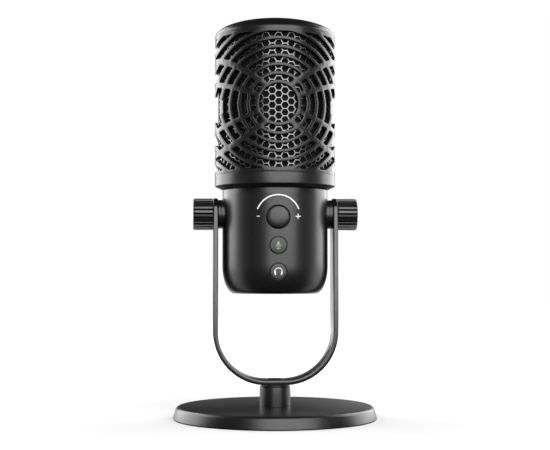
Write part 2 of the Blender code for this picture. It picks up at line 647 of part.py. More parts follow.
for side, sign, axis in SIDES:
    place = (sign * plate_screw_circle, 0, 0)
    head_hole = SMALL_SCREW_HEAD_RADIUS + RUN_GAP
    shank_hole = SMALL_SCREW_RADIUS + RUN_GAP
    sink = [
        (0, plate_top + CUT_OVERRUN),
        (shank_hole, plate_top + CUT_OVERRUN),
        (shank_hole, screw_seat),
        (head_hole, screw_seat),
        (head_hole, BODY_BOTTOM - CUT_OVERRUN),
        (0, BODY_BOTTOM - CUT_OVERRUN),
    ]
    plate_cuts.append(turned(sink, TINY_TURN, "Z", place))
    screw = small_screw("Z", (0, 0, 0))
    bmesh.ops.transform(screw, matrix=turn_over, verts=screw.verts)
    head_under = (place[0], 0, screw_seat - SEAT_GAP)
    piece(f"bottom_screw_{side}", [screw], ZINC_STEEL, tilt_axis, head_under)
boolean(bottom_plate, "DIFFERENCE", "bottom_plate_holes", plate_cuts)

# Ports: a socket shell with a tongue and a round jack, both open downwards, under their board
usb_low = PORT_MOUTH
usb_high = PORT_MOUTH + PORT_DEPTH
usb_place = (USB_X, PORT_Y, 0)
usb_shell = [prism(stadium(USB_WIDTH, USB_HEIGHT), usb_low, usb_high)]
usb_socket = piece("usb_socket", usb_shell, NICKEL, tilt_axis, usb_place)
usb_mouth = stadium(USB_WIDTH - 2 * USB_SHELL, USB_HEIGHT - 2 * USB_SHELL)
usb_cavity = prism(usb_mouth, usb_low - CUT_OVERRUN, usb_high - USB_BACK_WALL)
boolean(usb_socket, "DIFFERENCE", "usb_cavity", [usb_cavity])
tongue_half = (USB_TONGUE_WIDTH / 2, USB_TONGUE_THICKNESS / 2)
tongue_top = usb_high - USB_BACK_WALL / 2
tongue = block((-tongue_half[0], -tongue_half[1], usb_low + PORT_RECESS), (*tongue_half, tongue_top))
boolean(usb_socket, "UNION", "usb_tongue", [tongue])
jack_profile = [
    (0, usb_high),
    (JACK_RADIUS, usb_high),
    (JACK_RADIUS, usb_low),
    (JACK_BORE_RADIUS, usb_low),
    (JACK_BORE_RADIUS, usb_high - JACK_BACK_WALL),
    (0, usb_high - JACK_BACK_WALL),
]
piece("headphone_jack", [turned(jack_profile, SMALL_TURN)], BLACK_NYLON, tilt_axis, (JACK_X, PORT_Y, 0))
port_board_top = PORT_BOARD_BOTTOM + BOARD_THICKNESS
board_low = (-PORT_BOARD_HALF_WIDTH, PORT_BOARD_FRONT, PORT_BOARD_BOTTOM)
board_high = (PORT_BOARD_HALF_WIDTH, PORT_BOARD_BACK, port_board_top)
port_board = piece("port_board", [block(board_low, board_high)], BOARD_GREEN, tilt_axis)
port_holes = []
for side, sign, axis in SIDES:
    place = (sign * PORT_SCREW_X, PORT_SCREW_Y, 0)
    low = PORT_BOARD_BOTTOM - CUT_OVERRUN
    high = port_board_top + CUT_OVERRUN
    port_holes.append(rod(SMALL_SCREW_RADIUS + RUN_GAP, low, high, TINY_TURN, "Z", place))
    place = (place[0], place[1], port_board_top + SEAT_GAP)
    piece(f"port_screw_{side}", [small_screw("Z", (0, 0, 0))], ZINC_STEEL, tilt_axis, place)
boolean(port_board, "DIFFERENCE", "port_board_holes", port_holes)

# Control board: stands behind the front wall and carries the encoder, the switches and the lamp
board_back = board_front + BOARD_THICKNESS
board_low = (-BOARD_HALF_WIDTH, board_front, BODY_BOTTOM + BOARD_ABOVE_BOTTOM)
board_high = (BOARD_HALF_WIDTH, board_back, BODY_TOP - BOARD_BELOW_TOP)
control_board = piece("control_board", [block(board_low, board_high)], BOARD_GREEN, tilt_axis)
board_holes = []
for side, sign, axis in SIDES:
    place = (sign * BOARD_SCREW_X, board_front, BOARD_SCREW_HEIGHT)
    hole_end = BOARD_THICKNESS + CUT_OVERRUN
    board_holes.append(rod(SMALL_SCREW_RADIUS + RUN_GAP, -CUT_OVERRUN, hole_end, TINY_TURN, "Y", place))
    head_under = (place[0], board_back + SEAT_GAP, place[2])
    piece(f"board_screw_{side}", [small_screw("Y", (0, 0, 0))], ZINC_STEEL, tilt_axis, head_under)
boolean(control_board, "DIFFERENCE", "control_board_holes", board_holes)

# Volume control: a knob and its shaft, which turn together in the encoder
mounted = SEAT_GAP - board_front
encoder_front = mounted + ENCODER_DEPTH
square = ENCODER_SIDE / 2
corners = [(-square, -square), (square, -square), (square, square), (-square, square)]
encoder_place = (0, 0, VOLUME_HEIGHT)
encoder = prism(corners, mounted, encoder_front, "-Y")
volume_encoder = piece("volume_encoder", [encoder], ZINC_STEEL, tilt_axis, encoder_place)
shaft_low = encoder_front - VOLUME_SHAFT_ENGAGEMENT
bore_end = encoder_front + CUT_OVERRUN
bore = rod(VOLUME_SHAFT_RADIUS + RUN_GAP, shaft_low - RUN_GAP, bore_end, SMALL_TURN, "-Y")
boolean(volume_encoder, "DIFFERENCE", "encoder_bore", [bore])
knob_front = VOLUME_KNOB_PROUD
knob_back = knob_front - VOLUME_KNOB_DEPTH
socket_end = knob_back + VOLUME_SOCKET_DEPTH
socket_radius = VOLUME_SHAFT_RADIUS + SEAT_GAP
volume_profile = [
    (0, knob_front),
    (VOLUME_KNOB_RADIUS - VOLUME_KNOB_CHAMFER, knob_front),
    (VOLUME_KNOB_RADIUS, knob_front - VOLUME_KNOB_CHAMFER),
    (VOLUME_KNOB_RADIUS, knob_back),
    (socket_radius, knob_back),
    (socket_radius, socket_end),
    (0, socket_end),
]
volume_place = (0, -BODY_RADIUS, VOLUME_HEIGHT)
volume_knob = turned(volume_profile, SMALL_TURN, "-Y")
piece("volume_knob", [volume_knob], KNOB_ABS, tilt_axis, volume_place)
shaft = rod(VOLUME_SHAFT_RADIUS, shaft_low - BODY_RADIUS, socket_end - SEAT_GAP, SMALL_TURN, "-Y")
piece("volume_shaft", [shaft], ZINC_STEEL, tilt_axis, volume_place)

# Push buttons: each a cap with a retaining flange and a tail that reaches its switch
switch_top = mounted + SWITCH_DEPTH + SWITCH_STEM
tail_end = switch_top + BUTTON_TRAVEL + BUTTON_PLAY - BODY_RADIUS
buttons = (("mute", MUTE_RADIUS, MUTE_HEIGHT), ("monitor", MONITOR_RADIUS, MONITOR_HEIGHT))
for name, radius, height in buttons:
    flange_radius = radius + BUTTON_FLANGE_WIDTH
    flange_front = inside_depth(flange_radius, height) - 2 * SEAT_GAP - BODY_RADIUS
    flange_back = flange_front - BUTTON_FLANGE_THICKNESS
    button_profile = [
        (0, BUTTON_PROUD),
        (radius - BUTTON_EDGE, BUTTON_PROUD),
        (radius, BUTTON_PROUD - BUTTON_EDGE),
        (radius, flange_front),
        (flange_radius, flange_front),
        (flange_radius, flange_back),
        (BUTTON_TAIL_RADIUS, flange_back),
        (BUTTON_TAIL_RADIUS, tail_end),
        (0, tail_end),
    ]
    button = turned(button_profile, SMALL_TURN, "-Y")
    piece(f"{name}_button", [button], BUTTON_ABS, tilt_axis, (0, -BODY_RADIUS, height))
    half = SWITCH_SIDE / 2
    corners = [(-half, -half), (half, -half), (half, half), (-half, half)]
    case = prism(corners, mounted, mounted + SWITCH_DEPTH, "-Y")
    switch = piece(f"{name}_switch", [case], BLACK_NYLON, tilt_axis, (0, 0, height))
    stem_low = mounted + SWITCH_DEPTH - JOIN_OVERLAP
    stem = rod(SWITCH_STEM_RADIUS, stem_low, switch_top, TINY_TURN, "-Y")
    boolean(switch, "UNION", f"{name}_switch_stem", [stem])

# Mute lamp: sits beside the mute switch and lights the button from behind
half = LED_SIDE / 2
corners = [(-half, -half), (half, -half), (half, half), (-half, half)]
led_place = (SWITCH_SIDE / 2 + LED_SIDE, 0, MUTE_HEIGHT)
piece("mute_led", [prism(corners, mounted, mounted + LED_DEPTH, "-Y")], LED_RESIN, tilt_axis, led_place)

# Head ring: neck, floor and band in one moulding, with a lip that locates the cage
lip_top = BAND_TOP + LIP_HEIGHT
lip_outside = CAGE_INSIDE + LIP_THICKNESS
ring_profile = [
    (CAGE_INSIDE, lip_top),
    (lip_outside, lip_top),
    (lip_outside, BAND_TOP),
    (HEAD_RADIUS, BAND_TOP),
    (HEAD_RADIUS, BAND_BOTTOM),
    (BODY_RADIUS, NECK_BOTTOM),
    (WIRE_HOLE_RADIUS, NECK_BOTTOM),
    (WIRE_HOLE_RADIUS, FLOOR_TOP),
    (CAGE_INSIDE, FLOOR_TOP),
]
head_ring = piece("head_ring", [turned(ring_profile, LARGE_TURN)], BLACK_ABS, tilt_axis)
floor_holes = []
for number, (x, y) in enumerate(head_screw_places, 1):
    low = NECK_BOTTOM - CUT_OVERRUN
    hole = HEAD_SCREW_RADIUS + RUN_GAP
    floor_holes.append(rod(hole, low, FLOOR_TOP + CUT_OVERRUN, TINY_TURN, "Z", (x, y, 0)))
    screw = pan_screw(HEAD_SCREW_RADIUS, HEAD_SCREW_LENGTH, HEAD_SCREW_HEAD_RADIUS, HEAD_SCREW_HEAD_HEIGHT)
    piece(f"head_screw_{number}", [screw], ZINC_STEEL, tilt_axis, (x, y, FLOOR_TOP + SEAT_GAP))
boolean(head_ring, "DIFFERENCE", "head_ring_holes", floor_holes)


def spoke_angle(radius, long_spoke):
    """Where a spoke in the upper right quarter crosses a circle about the middle of the web."""
    if not long_spoke:
        return SIDE_SPOKE_ANGLE
    low, high = 0.0, radius
    for _ in range(40):
        x = (low + high) / 2
        z = LONG_SPOKE_START + LONG_SPOKE_SLOPE * x - LONG_SPOKE_SAG * x * x
        low, high = (x, high) if math.hypot(x, z) < radius else (low, x)
    return math.atan2(z, x)


def spoke_edges(radius):
    """The angles of the eight spokes' two edges on a circle, round from the lower right side spoke."""
    edges = []
    for quarter in range(4):
        pair = []
        for long_spoke, width in ((False, SIDE_SPOKE_WIDTH), (True, LONG_SPOKE_WIDTH)):
            half = math.asin(width / 2 / radius)
            angle = spoke_angle(radius, long_spoke)
            pair.append((angle - half, angle + half))
        if quarter % 2:
            pair = [(math.pi - b, math.pi - a) for a, b in reversed(pair)]
        shift = math.pi * (quarter // 2)
        edges += [(a + shift, b + shift) for a, b in pair]
    return edges


def web_arc(radius, start, end):
    """An arc about the middle of the web, with as few points as its chords allow."""
    step = math.sqrt(8 * WEB_CHORD_ERROR / radius)
    return arc((0, 0), (radius, radius), start, end, math.ceil((end - start) / step))


def web_slots(reach):
    """The outlines of the open slots between the rings and the spokes, and of the open middle."""
    outlines = [web_arc(HUB_RADIUS, 0, math.tau)[:-1]]
    inner = HUB_RADIUS + RING_BAR
    while inner < reach:
        outer = inner + RING_PITCH - RING_BAR
        inner_edges = spoke_edges(inner)
        outer_edges = spoke_edges(outer)
        for i in range(len(inner_edges)):
            turn = math.tau if i == len(inner_edges) - 1 else 0
            after = (i + 1) % len(inner_edges)
            spans = []
            for radius, edges in ((inner, inner_edges), (outer, outer_edges)):
                spans.append(web_arc(radius, edges[i][1], edges[after][0] + turn))
            outlines.append(spans[0] + spans[1][::-1])
        inner += RING_PITCH
    return outlines


# Grille cage: a tube with a lip seat at the bottom, slotted right through from front to back
rabbet = lip_outside + SEAT_GAP
cage_profile = [
    (CAGE_INSIDE, CAGE_TOP),
    (HEAD_RADIUS, CAGE_TOP),
    (HEAD_RADIUS, CAGE_BOTTOM),
    (rabbet, CAGE_BOTTOM),
    (rabbet, lip_top + SEAT_GAP),
    (CAGE_INSIDE, lip_top + SEAT_GAP),
]
grille_cage = piece("grille_cage", [turned(cage_profile, CAGE_TURN)], BLACK_ABS, tilt_axis)
corner_rise = max(WINDOW_TOP - WEB_CENTRE, WEB_CENTRE - WINDOW_BOTTOM)
slot_reach = HEAD_RADIUS + CUT_OVERRUN
web_centre = (0, 0, WEB_CENTRE)
slots = [prism(outline, -slot_reach, slot_reach, "-Y", web_centre)
         for outline in web_slots(math.hypot(HEAD_RADIUS, corner_rise))]
cage_slots = boolean(grille_cage, "DIFFERENCE", "cage_slots", slots)
window_low = (-2 * slot_reach, -2 * slot_reach, WINDOW_BOTTOM)
window_high = (2 * slot_reach, 2 * slot_reach, WINDOW_TOP)
boolean(cage_slots, "INTERSECT", "cage_window", [block(window_low, window_high)])

# Linings of the head: the rolled mesh sleeve and the foam behind it
mesh_sleeve = tube(MESH_OUTSIDE, MESH_INSIDE, LINER_BOTTOM, LINER_TOP, LARGE_TURN)
piece("hex_mesh", [mesh_sleeve], MESH_STEEL, tilt_axis)
foam_sleeve = tube(FOAM_OUTSIDE, FOAM_INSIDE, LINER_BOTTOM, LINER_TOP, LARGE_TURN)
piece("foam_liner", [foam_sleeve], BLACK_FOAM, tilt_axis)

# Top cap: a hollow dome with a spigot that plugs into the cage
dome_foot = CAP_BOTTOM + CAP_SKIRT
spigot_outside = CAGE_INSIDE - SEAT_GAP
spigot_inside = spigot_outside - CAP_SPIGOT_WALL
dome = arc((0, dome_foot), (HEAD_RADIUS, CAP_RISE), math.pi / 2, 0, 6)
hollow = arc((0, dome_foot), (spigot_inside, CAP_RISE - CAP_WALL), 0, math.pi / 2, 3)
cap_profile = [(0, dome[0][1]), *dome[1:], (HEAD_RADIUS, CAP_BOTTOM), (spigot_outside, CAP_BOTTOM)]
cap_profile += [(spigot_outside, SPIGOT_BOTTOM), (spigot_inside, SPIGOT_BOTTOM)]
cap_profile += [*hollow[:-1], (0, hollow[-1][1])]
piece("top_cap", [turned(cap_profile, LARGE_TURN)], BLACK_ABS, tilt_axis)

# Capsule: a round electret in a rubber cradle on a hollow stem, facing the front
capsule = rod(CAPSULE_RADIUS, -CAPSULE_THICKNESS / 2, CAPSULE_THICKNESS / 2, SMALL_TURN, "-Y")
piece("capsule", [capsule], NICKEL, tilt_axis, web_centre)
cradle_inside = CAPSULE_RADIUS + SEAT_GAP
cradle_outside = cradle_inside + CRADLE_WALL
cradle_half = CRADLE_THICKNESS / 2
cradle_ring = tube(cradle_outside, cradle_inside, -cradle_half, cradle_half, SMALL_TURN, "-Y")
cradle = piece("capsule_cradle", [cradle_ring], BLACK_RUBBER, tilt_axis, web_centre)
foot_half = CRADLE_FOOT_WIDTH / 2
foot_top = -cradle_inside - JOIN_OVERLAP
foot_low = (-foot_half, -cradle_half + JOIN_OVERLAP, -CRADLE_FOOT_DROP)
foot_high = (foot_half, cradle_half - JOIN_OVERLAP, foot_top)
boolean(cradle, "UNION", "cradle_foot", [block(foot_low, foot_high)])
stem_top = WEB_CENTRE - CRADLE_FOOT_DROP - SEAT_GAP
stem_profile = [
    (STEM_BORE_RADIUS, stem_top),
    (STEM_RADIUS, stem_top),
    (STEM_RADIUS, LINER_BOTTOM + STEM_FLANGE_THICKNESS),
    (STEM_FLANGE_RADIUS, LINER_BOTTOM + STEM_FLANGE_THICKNESS),
    (STEM_FLANGE_RADIUS, LINER_BOTTOM),
    (STEM_BORE_RADIUS, LINER_BOTTOM),
]
piece("capsule_stem", [turned(stem_profile, SMALL_TURN)], BLACK_NYLON, tilt_axis)
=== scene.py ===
from math import asin, atan2, copysign, cos, hypot, pi, radians, sin, sqrt, tan, tau

import bmesh
import bpy
import numpy as np
from mathutils import Matrix, Vector, geometry


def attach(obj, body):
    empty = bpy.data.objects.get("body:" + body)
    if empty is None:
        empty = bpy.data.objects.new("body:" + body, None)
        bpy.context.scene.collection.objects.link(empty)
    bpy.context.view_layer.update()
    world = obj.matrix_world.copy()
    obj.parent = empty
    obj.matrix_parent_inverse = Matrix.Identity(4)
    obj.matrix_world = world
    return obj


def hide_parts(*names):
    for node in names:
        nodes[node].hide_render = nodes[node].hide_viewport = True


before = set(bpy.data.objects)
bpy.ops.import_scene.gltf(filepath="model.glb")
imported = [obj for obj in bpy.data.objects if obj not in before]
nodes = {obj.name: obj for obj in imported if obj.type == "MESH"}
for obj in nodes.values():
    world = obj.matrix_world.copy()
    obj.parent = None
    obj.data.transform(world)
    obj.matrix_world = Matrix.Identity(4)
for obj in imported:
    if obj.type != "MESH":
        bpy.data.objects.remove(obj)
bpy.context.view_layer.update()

# The frame: the imported microphone stands on the table, front towards -Y.
scene = bpy.context.scene
MM = 0.001

# The camera: just above the table, a little to the left of the front and 675 mm from the
# middle of the stand, tipped up by two degrees.
CAMERA_TURN = radians(-3.6)
CAMERA_REACH = 0.675
CAMERA_HEIGHT = 0.0775
CAMERA_TIP = radians(2.25)
CAMERA_LENS = 81.8
lens = bpy.data.cameras.new("camera")
lens.lens = CAMERA_LENS
camera = bpy.data.objects.new("camera", lens)
camera.location = (CAMERA_REACH * sin(CAMERA_TURN), -CAMERA_REACH * cos(CAMERA_TURN), CAMERA_HEIGHT)
camera.rotation_euler = (pi / 2 + CAMERA_TIP, 0, CAMERA_TURN)
scene.collection.objects.link(camera)
scene.camera = camera

# The lamps: one wide softbox beside the camera and a strip softbox behind each shoulder, all a
# metre from the microphone. A lamp's watts are four times its radiance over its area.
scene.view_settings.view_transform = "Standard"
LAMP_AIM = Vector((0, 0, 0.11))
LAMP_REACH = 1.0
WATTS_FOR_RADIANCE = 4


def softbox(name, azimuth, elevation, width, height, radiance):
    """A flat lit panel that faces the middle of the microphone, angles in degrees."""
    panel = bpy.data.lights.new(name, "AREA")
    panel.shape = "RECTANGLE"
    panel.size = width
    panel.size_y = height
    panel.energy = WATTS_FOR_RADIANCE * width * height * radiance
    turn, rise = radians(azimuth), radians(elevation)
    level = cos(rise)
    towards = Vector((sin(turn) * level, -cos(turn) * level, sin(rise)))
    lamp = bpy.data.objects.new(name, panel)
    lamp.location = LAMP_AIM + LAMP_REACH * towards
    lamp.rotation_euler = towards.to_track_quat("Z", "Y").to_euler()
    lamp.visible_camera = False
    scene.collection.objects.link(lamp)


softbox("front_softbox", azimuth=11, elevation=22, width=1.25, height=1.36, radiance=3.5)
softbox("left_strip", azimuth=-124, elevation=20, width=1.15, height=0.84, radiance=3.8)
softbox("right_strip", azimuth=124, elevation=20, width=1.05, height=0.84, radiance=3.6)

# The backdrop: white to the eye and through anything clear. Dark flags stand in front of most of
# it, so gloss mirrors a dim wash low down, a bright cove at the horizon and a pool to the right.
ROOM_LIGHT = 0.02
WASH = 0.1
WASH_TOP = 0.3
COVE_TOP = (0.03, 0.05)
POOL_PLACE = (0.24, 0.965, 0.09)
POOL_REACH = (0.06, 0.19)


def linear(colour):
    """A colour written as sRGB hex, as the linear values that a shader takes."""
    parts = [int(colour[i : i + 2], 16) / 255 for i in (1, 3, 5)]
    return (*[c / 12.92 if c <= 0.04045 else ((c + 0.055) / 1.055) ** 2.4 for c in parts], 1)


def add(tree, kind, inputs=(), **settings):
    """Adds a node with its settings and its inputs, by name or in order: values, sockets or nodes."""
    node = tree.nodes.new(kind)
    for name, value in settings.items():
        setattr(node, name, value)
    for name, value in inputs.items() if isinstance(inputs, dict) else enumerate(inputs):
        if isinstance(value, bpy.types.Node):
            value = value.outputs[0]
        if isinstance(value, bpy.types.NodeSocket):
            tree.links.new(value, node.inputs[name])
        else:
            node.inputs[name].default_value = value
    return node


def white_share(tree, in_gloss):
    """How white a ray finds the set: wholly to the eye and through clear parts, in part in gloss."""
    rays = add(tree, "ShaderNodeLightPath").outputs
    shares = (rays["Is Glossy Ray"], in_gloss, rays["Is Camera Ray"])
    mirrored = add(tree, "ShaderNodeMath", shares, operation="MULTIPLY_ADD")
    return add(tree, "ShaderNodeMath", (mirrored, rays["Is Transmission Ray"]), operation="MAXIMUM")


world = bpy.data.worlds.new("studio")
world.use_nodes = True
tree = world.node_tree
tree.nodes.clear()
heading = add(tree, "ShaderNodeTexCoord").outputs["Generated"]
rise = add(tree, "ShaderNodeSeparateXYZ", (heading,)).outputs["Z"]
wash = add(tree, "ShaderNodeMapRange", {"Value": rise, "From Max": WASH_TOP, "To Min": WASH, "To Max": 0.0})
cove = add(tree, "ShaderNodeMapRange", (rise, *COVE_TOP, 1.0, 0.0))
from_pool = add(tree, "ShaderNodeVectorMath", (heading, POOL_PLACE), operation="DISTANCE").outputs["Value"]
dimming = (from_pool, *POOL_REACH, 1.0, 0.0)
pool = add(tree, "ShaderNodeMapRange", dimming, interpolation_type="SMOOTHSTEP")
lit = add(tree, "ShaderNodeMath", (wash, pool), operation="MAXIMUM")
brighter = add(tree, "ShaderNodeMath", (lit, cove), operation="MAXIMUM")
share = white_share(tree, brighter)
strength = add(tree, "ShaderNodeMapRange", {"Value": share, "To Min": ROOM_LIGHT, "To Max": 1.0})
backdrop = add(tree, "ShaderNodeBackground", {"Color": linear("#ffffff"), "Strength": strength})
add(tree, "ShaderNodeOutputWorld", {"Surface": backdrop})
scene.world = world

# The table: a wide board faced with matt white laminate, an even pale surface. It takes the soft
# shadow close to the base, fades to plain white further out, and shows a painted shade, a darker grey, in
# gloss towards the camera and in all bounce light, in place of flags.
TABLE_WIDTH = 12.0
TABLE_FILL = (0.36, 1.0)
TABLE_FADE = (0.08, 0.34)
PAINTED_FLAG_SHADE_EDGE = (-0.35, 0.05)
CREASE = 35


def bare(name):
    """A new material with an empty node tree, that tree, and the socket of its object coordinates."""
    material = bpy.data.materials.new(name)
    material.use_nodes = True
    tree = material.node_tree
    tree.nodes.clear()
    return material, tree, add(tree, "ShaderNodeTexCoord").outputs["Object"]


def finished(name, shape, material, crease=CREASE):
    """One piece from a worked shape in metres, smooth except at its creases, in degrees."""
    mesh = bpy.data.meshes.new(name)
    shape.to_mesh(mesh)
    shape.free()
    mesh.shade_smooth()
    mesh.set_sharp_from_angle(angle=radians(crease))
    mesh.materials.append(material)
    piece = bpy.data.objects.new(name, mesh)
    scene.collection.objects.link(piece)
    return piece


laminate, tree, place = bare("matt_white_laminate")
laminate.cycles.emission_sampling = "NONE"
away = add(tree, "ShaderNodeVectorMath", (place,), operation="LENGTH").outputs["Value"]
fading = (away, *TABLE_FADE, *TABLE_FILL)
fill = add(tree, "ShaderNodeMapRange", fading, interpolation_type="SMOOTHSTEP")
matt = add(tree, "ShaderNodeBsdfDiffuse", {"Color": linear("#b4b4b4")})
lit = add(tree, "ShaderNodeEmission", {"Color": linear("#ffffff"), "Strength": fill})
pale = add(tree, "ShaderNodeAddShader", (matt, lit))
# Painted shade: the darker grey that gloss and bounce rays meet, standing in for flags.
painted_flag_shade = add(tree, "ShaderNodeBsdfDiffuse", {"Color": linear("#404040")})
heading = add(tree, "ShaderNodeVectorMath", (place,), operation="NORMALIZE")
behind = add(tree, "ShaderNodeSeparateXYZ", (heading,)).outputs["Y"]
clear_of_painted_flag_shade = add(tree, "ShaderNodeMapRange", (behind, *PAINTED_FLAG_SHADE_EDGE), interpolation_type="SMOOTHSTEP")
share = white_share(tree, clear_of_painted_flag_shade)
whole = add(tree, "ShaderNodeMixShader", (share, painted_flag_shade, pale))
add(tree, "ShaderNodeOutputMaterial", {"Surface": whole})
shape = bmesh.new()
bmesh.ops.create_grid(shape, x_segments=1, y_segments=1, size=TABLE_WIDTH / 2)
table = finished("table", shape, laminate)

# Base: a turned steel disc with a drafted rim and a rounded upper edge, in satin black
# powder coat. A rubber pad sits in its underside and hides the screw that holds the post.
BASE_SIDES = 160
BASE_OUTLINE = (
    (2.8, 6.8, 0),
    (52.9, 6.8, 2.2),
    (54.75, 0.62, 0.2),
    (54.3, 0.06, 0.1),
    (52.3, 0.06, 0.1),
    (52.3, 1.7, 0),
    (4.9, 1.7, 0),
    (4.9, 3.9, 0),
    (2.8, 3.9, 0),
)
PAD_OUTLINE = ((0, 1.4, 0), (52.0, 1.4, 0.2), (52.0, 0, 0.35), (0, 0, 0))
TOUCHING = 1e-6
GRAIN_DETAIL = 3.0
GRAIN_FALLOFF = 0.6
GRAIN_SPREAD = (0.3, 0.7)


def filleted(corners, steps=6):
    """A turning profile with rounded corners, each corner a radius, a height and a fillet."""
    points = []
    for i, (radius, height, fillet) in enumerate(corners):
        corner = Vector((radius, height))
        if not fillet:
            points.append(corner)
            continue
        back = (Vector(corners[i - 1][:2]) - corner).normalized()
        on = (Vector(corners[(i + 1) % len(corners)][:2]) - corner).normalized()
        half = back.angle(on) / 2
        centre = corner + (back + on).normalized() * fillet / sin(half)
        start = corner + back * fillet / tan(half) - centre
        end = corner + on * fillet / tan(half) - centre
        sweep = start.angle(end)
        for step in range(steps + 1):
            share = step / steps
            swung = start * sin((1 - share) * sweep) + end * sin(share * sweep)
            points.append(centre + swung / sin(sweep))
    return points


def turning(profile, sides, place=Matrix()):
    """A shape turned about Z from a profile in millimetres, which may begin and end on the axis."""
    shape = bmesh.new()
    rings = []
    for radius, height in profile:
        turns = [tau * i / sides for i in range(sides if radius > TOUCHING else 1)]
        rings.append([shape.verts.new((radius * cos(a), radius * sin(a), height)) for a in turns])
    following = rings[1:] + rings[:1] if profile[0][0] > TOUCHING else rings[1:]
    for low, high in zip(rings, following):
        for i in range(sides):
            lower = (low[i % len(low)], low[(i + 1) % len(low)])
            upper = (high[(i + 1) % len(high)], high[i % len(high)])
            shape.faces.new(list(dict.fromkeys((*lower, *upper))))
    bmesh.ops.recalc_face_normals(shape, faces=shape.faces)
    bmesh.ops.transform(shape, matrix=place @ Matrix.Scale(MM, 4), verts=shape.verts)
    return shape


def turned(name, corners, sides, material, place=Matrix()):
    """One piece turned from a profile with rounded corners."""
    return finished(name, turning(filleted(corners), sides, place), material)


def fit(piece, body, slot, *stood_for):
    """Sets a finished piece on its body and hides the nodes it stands for; its slot is not used."""
    if stood_for:
        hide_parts(*stood_for)
    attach(piece, body)


def dress(material, *names):
    """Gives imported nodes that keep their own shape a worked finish."""
    for name in names:
        for held in nodes[name].material_slots:
            held.material = material


def grained(name, colours, roughness, grain, relief, metallic=0.0, specular=0.5):
    """A finish whose colour, gloss and relief vary with one fine grain, sizes in millimetres."""
    material, tree, place = bare(name)
    sizes = {"Scale": 1 / (grain * MM), "Detail": GRAIN_DETAIL, "Roughness": GRAIN_FALLOFF}
    noise = add(tree, "ShaderNodeTexNoise", {"Vector": place, **sizes})
    even = add(tree, "ShaderNodeMapRange", (noise, *GRAIN_SPREAD))
    shades = {0: even, 6: linear(colours[0]), 7: linear(colours[1])}
    colour = add(tree, "ShaderNodeMix", shades, data_type="RGBA")
    gloss = add(tree, "ShaderNodeMapRange", (even, 0.0, 1.0, *roughness))
    bump = add(tree, "ShaderNodeBump", {"Height": even, "Distance": relief * MM})
    varied = {"Base Color": colour.outputs[2], "Roughness": gloss, "Normal": bump}
    even_all_over = {"Metallic": metallic, "Specular IOR Level": specular}
    shader = add(tree, "ShaderNodeBsdfPrincipled", {**varied, **even_all_over})
    add(tree, "ShaderNodeOutputMaterial", {"Surface": shader})
    return material


# Satin powder coat: baked on sprayed steel, it flows into a faint orange peel of 1.5 mm,
# which leaves broad soft highlights that waver slightly at their edges.
SATIN_BLACK = ("#0a0a0b", "#0d0d0e")
powder_coat = grained("satin_black_powder_coat", SATIN_BLACK, (0.3, 0.36), grain=1.5, relief=0.006)
# Nitrile rubber: pressed in a matt tool, dull and very dark, with a grain of 0.6 mm.
rubber = grained("matt_black_nitrile_rubber", ("#0c0c0c", "#121212"), (0.5, 0.6), grain=0.6, relief=0.02)
# Zinc plate: bright steel with the faint cloudiness of its plating bath, here in 1.2 mm patches.
zinc = grained(
    "zinc_plated_steel", ("#b4b7bb", "#c6c9cc"), (0.22, 0.36), grain=1.2, relief=0.002, metallic=1.0
)
fit(turned("base_disc", BASE_OUTLINE, BASE_SIDES, powder_coat), "stand", "powder_coat", "base_plate")
fit(turned("base_foot_pad", PAD_OUTLINE, BASE_SIDES, rubber), "stand", "rubber", "base_pad")
dress(zinc, "base_screw")

# Post: a turned steel tube in the same powder coat, between the base and the yoke, with a
# thin nylon washer on top that the yoke turns on and a countersunk screw down its middle.
POST_SIDES = 96
POST_OUTLINE = ((2.8, 17.35, 0), (8.3, 17.35, 0.5), (8.3, 6.83, 0.1), (2.8, 6.83, 0))
WASHER_OUTLINE = ((2.8, 18.41, 0), (7.6, 18.41, 0.2), (7.6, 17.38, 0.2), (2.8, 17.38, 0))
SCREW_SIDES = 48
SCREW_TOP = 21.07
SCREW_OUTLINE = (
    (0, SCREW_TOP, 0), (4.98, SCREW_TOP, 0.12), (2.5, 18.59, 0), (2.5, 12.85, 0.4), (0, 12.85, 0)
)
SOCKET_SIDES = 6
SOCKET_ACROSS = 3.0
SOCKET_DEPTH = 1.3
CUT_OVERRUN = 1.0
# Nylon: moulded smooth, a soft grey black with a waxy gloss and a flow grain of 0.8 mm.
nylon = grained("black_moulded_nylon", ("#151515", "#1c1c1c"), (0.42, 0.54), grain=0.8, relief=0.008)
# Black oxide: a thin dark skin on the steel, with a dull metal sheen and stains of 0.9 mm.
black_oxide = grained(
    "black_oxide_steel", ("#161617", "#1d1d1e"), (0.36, 0.46), grain=0.9, relief=0.002, metallic=1.0
)


def settle(piece):
    """Turns what a piece's modifiers make of it into its own mesh."""
    depsgraph = bpy.context.evaluated_depsgraph_get()
    mesh = bpy.data.meshes.new_from_object(piece.evaluated_get(depsgraph))
    piece.modifiers.clear()
    piece.data = mesh
    mesh.name = piece.name
    mesh.shade_smooth()
    mesh.set_sharp_from_angle(angle=radians(CREASE))


def cut(piece, shape, operation="DIFFERENCE", wall=None):
    """Cuts a shape out of a piece, or joins it on, and keeps the result as a plain mesh."""
    tool = finished("cutter", shape, wall or piece.data.materials[0])
    modifier = piece.modifiers.new("cut", "BOOLEAN")
    modifier.operation = operation
    modifier.solver = "EXACT"
    modifier.material_mode = "TRANSFER"
    modifier.object = tool
    settle(piece)
    bpy.data.objects.remove(tool, do_unlink=True)


def rod(radius, low, high, sides, place=Matrix()):
    """A plain round bar in millimetres, as a cutter."""
    return turning(((0, high), (radius, high), (radius, low), (0, low)), sides, place)


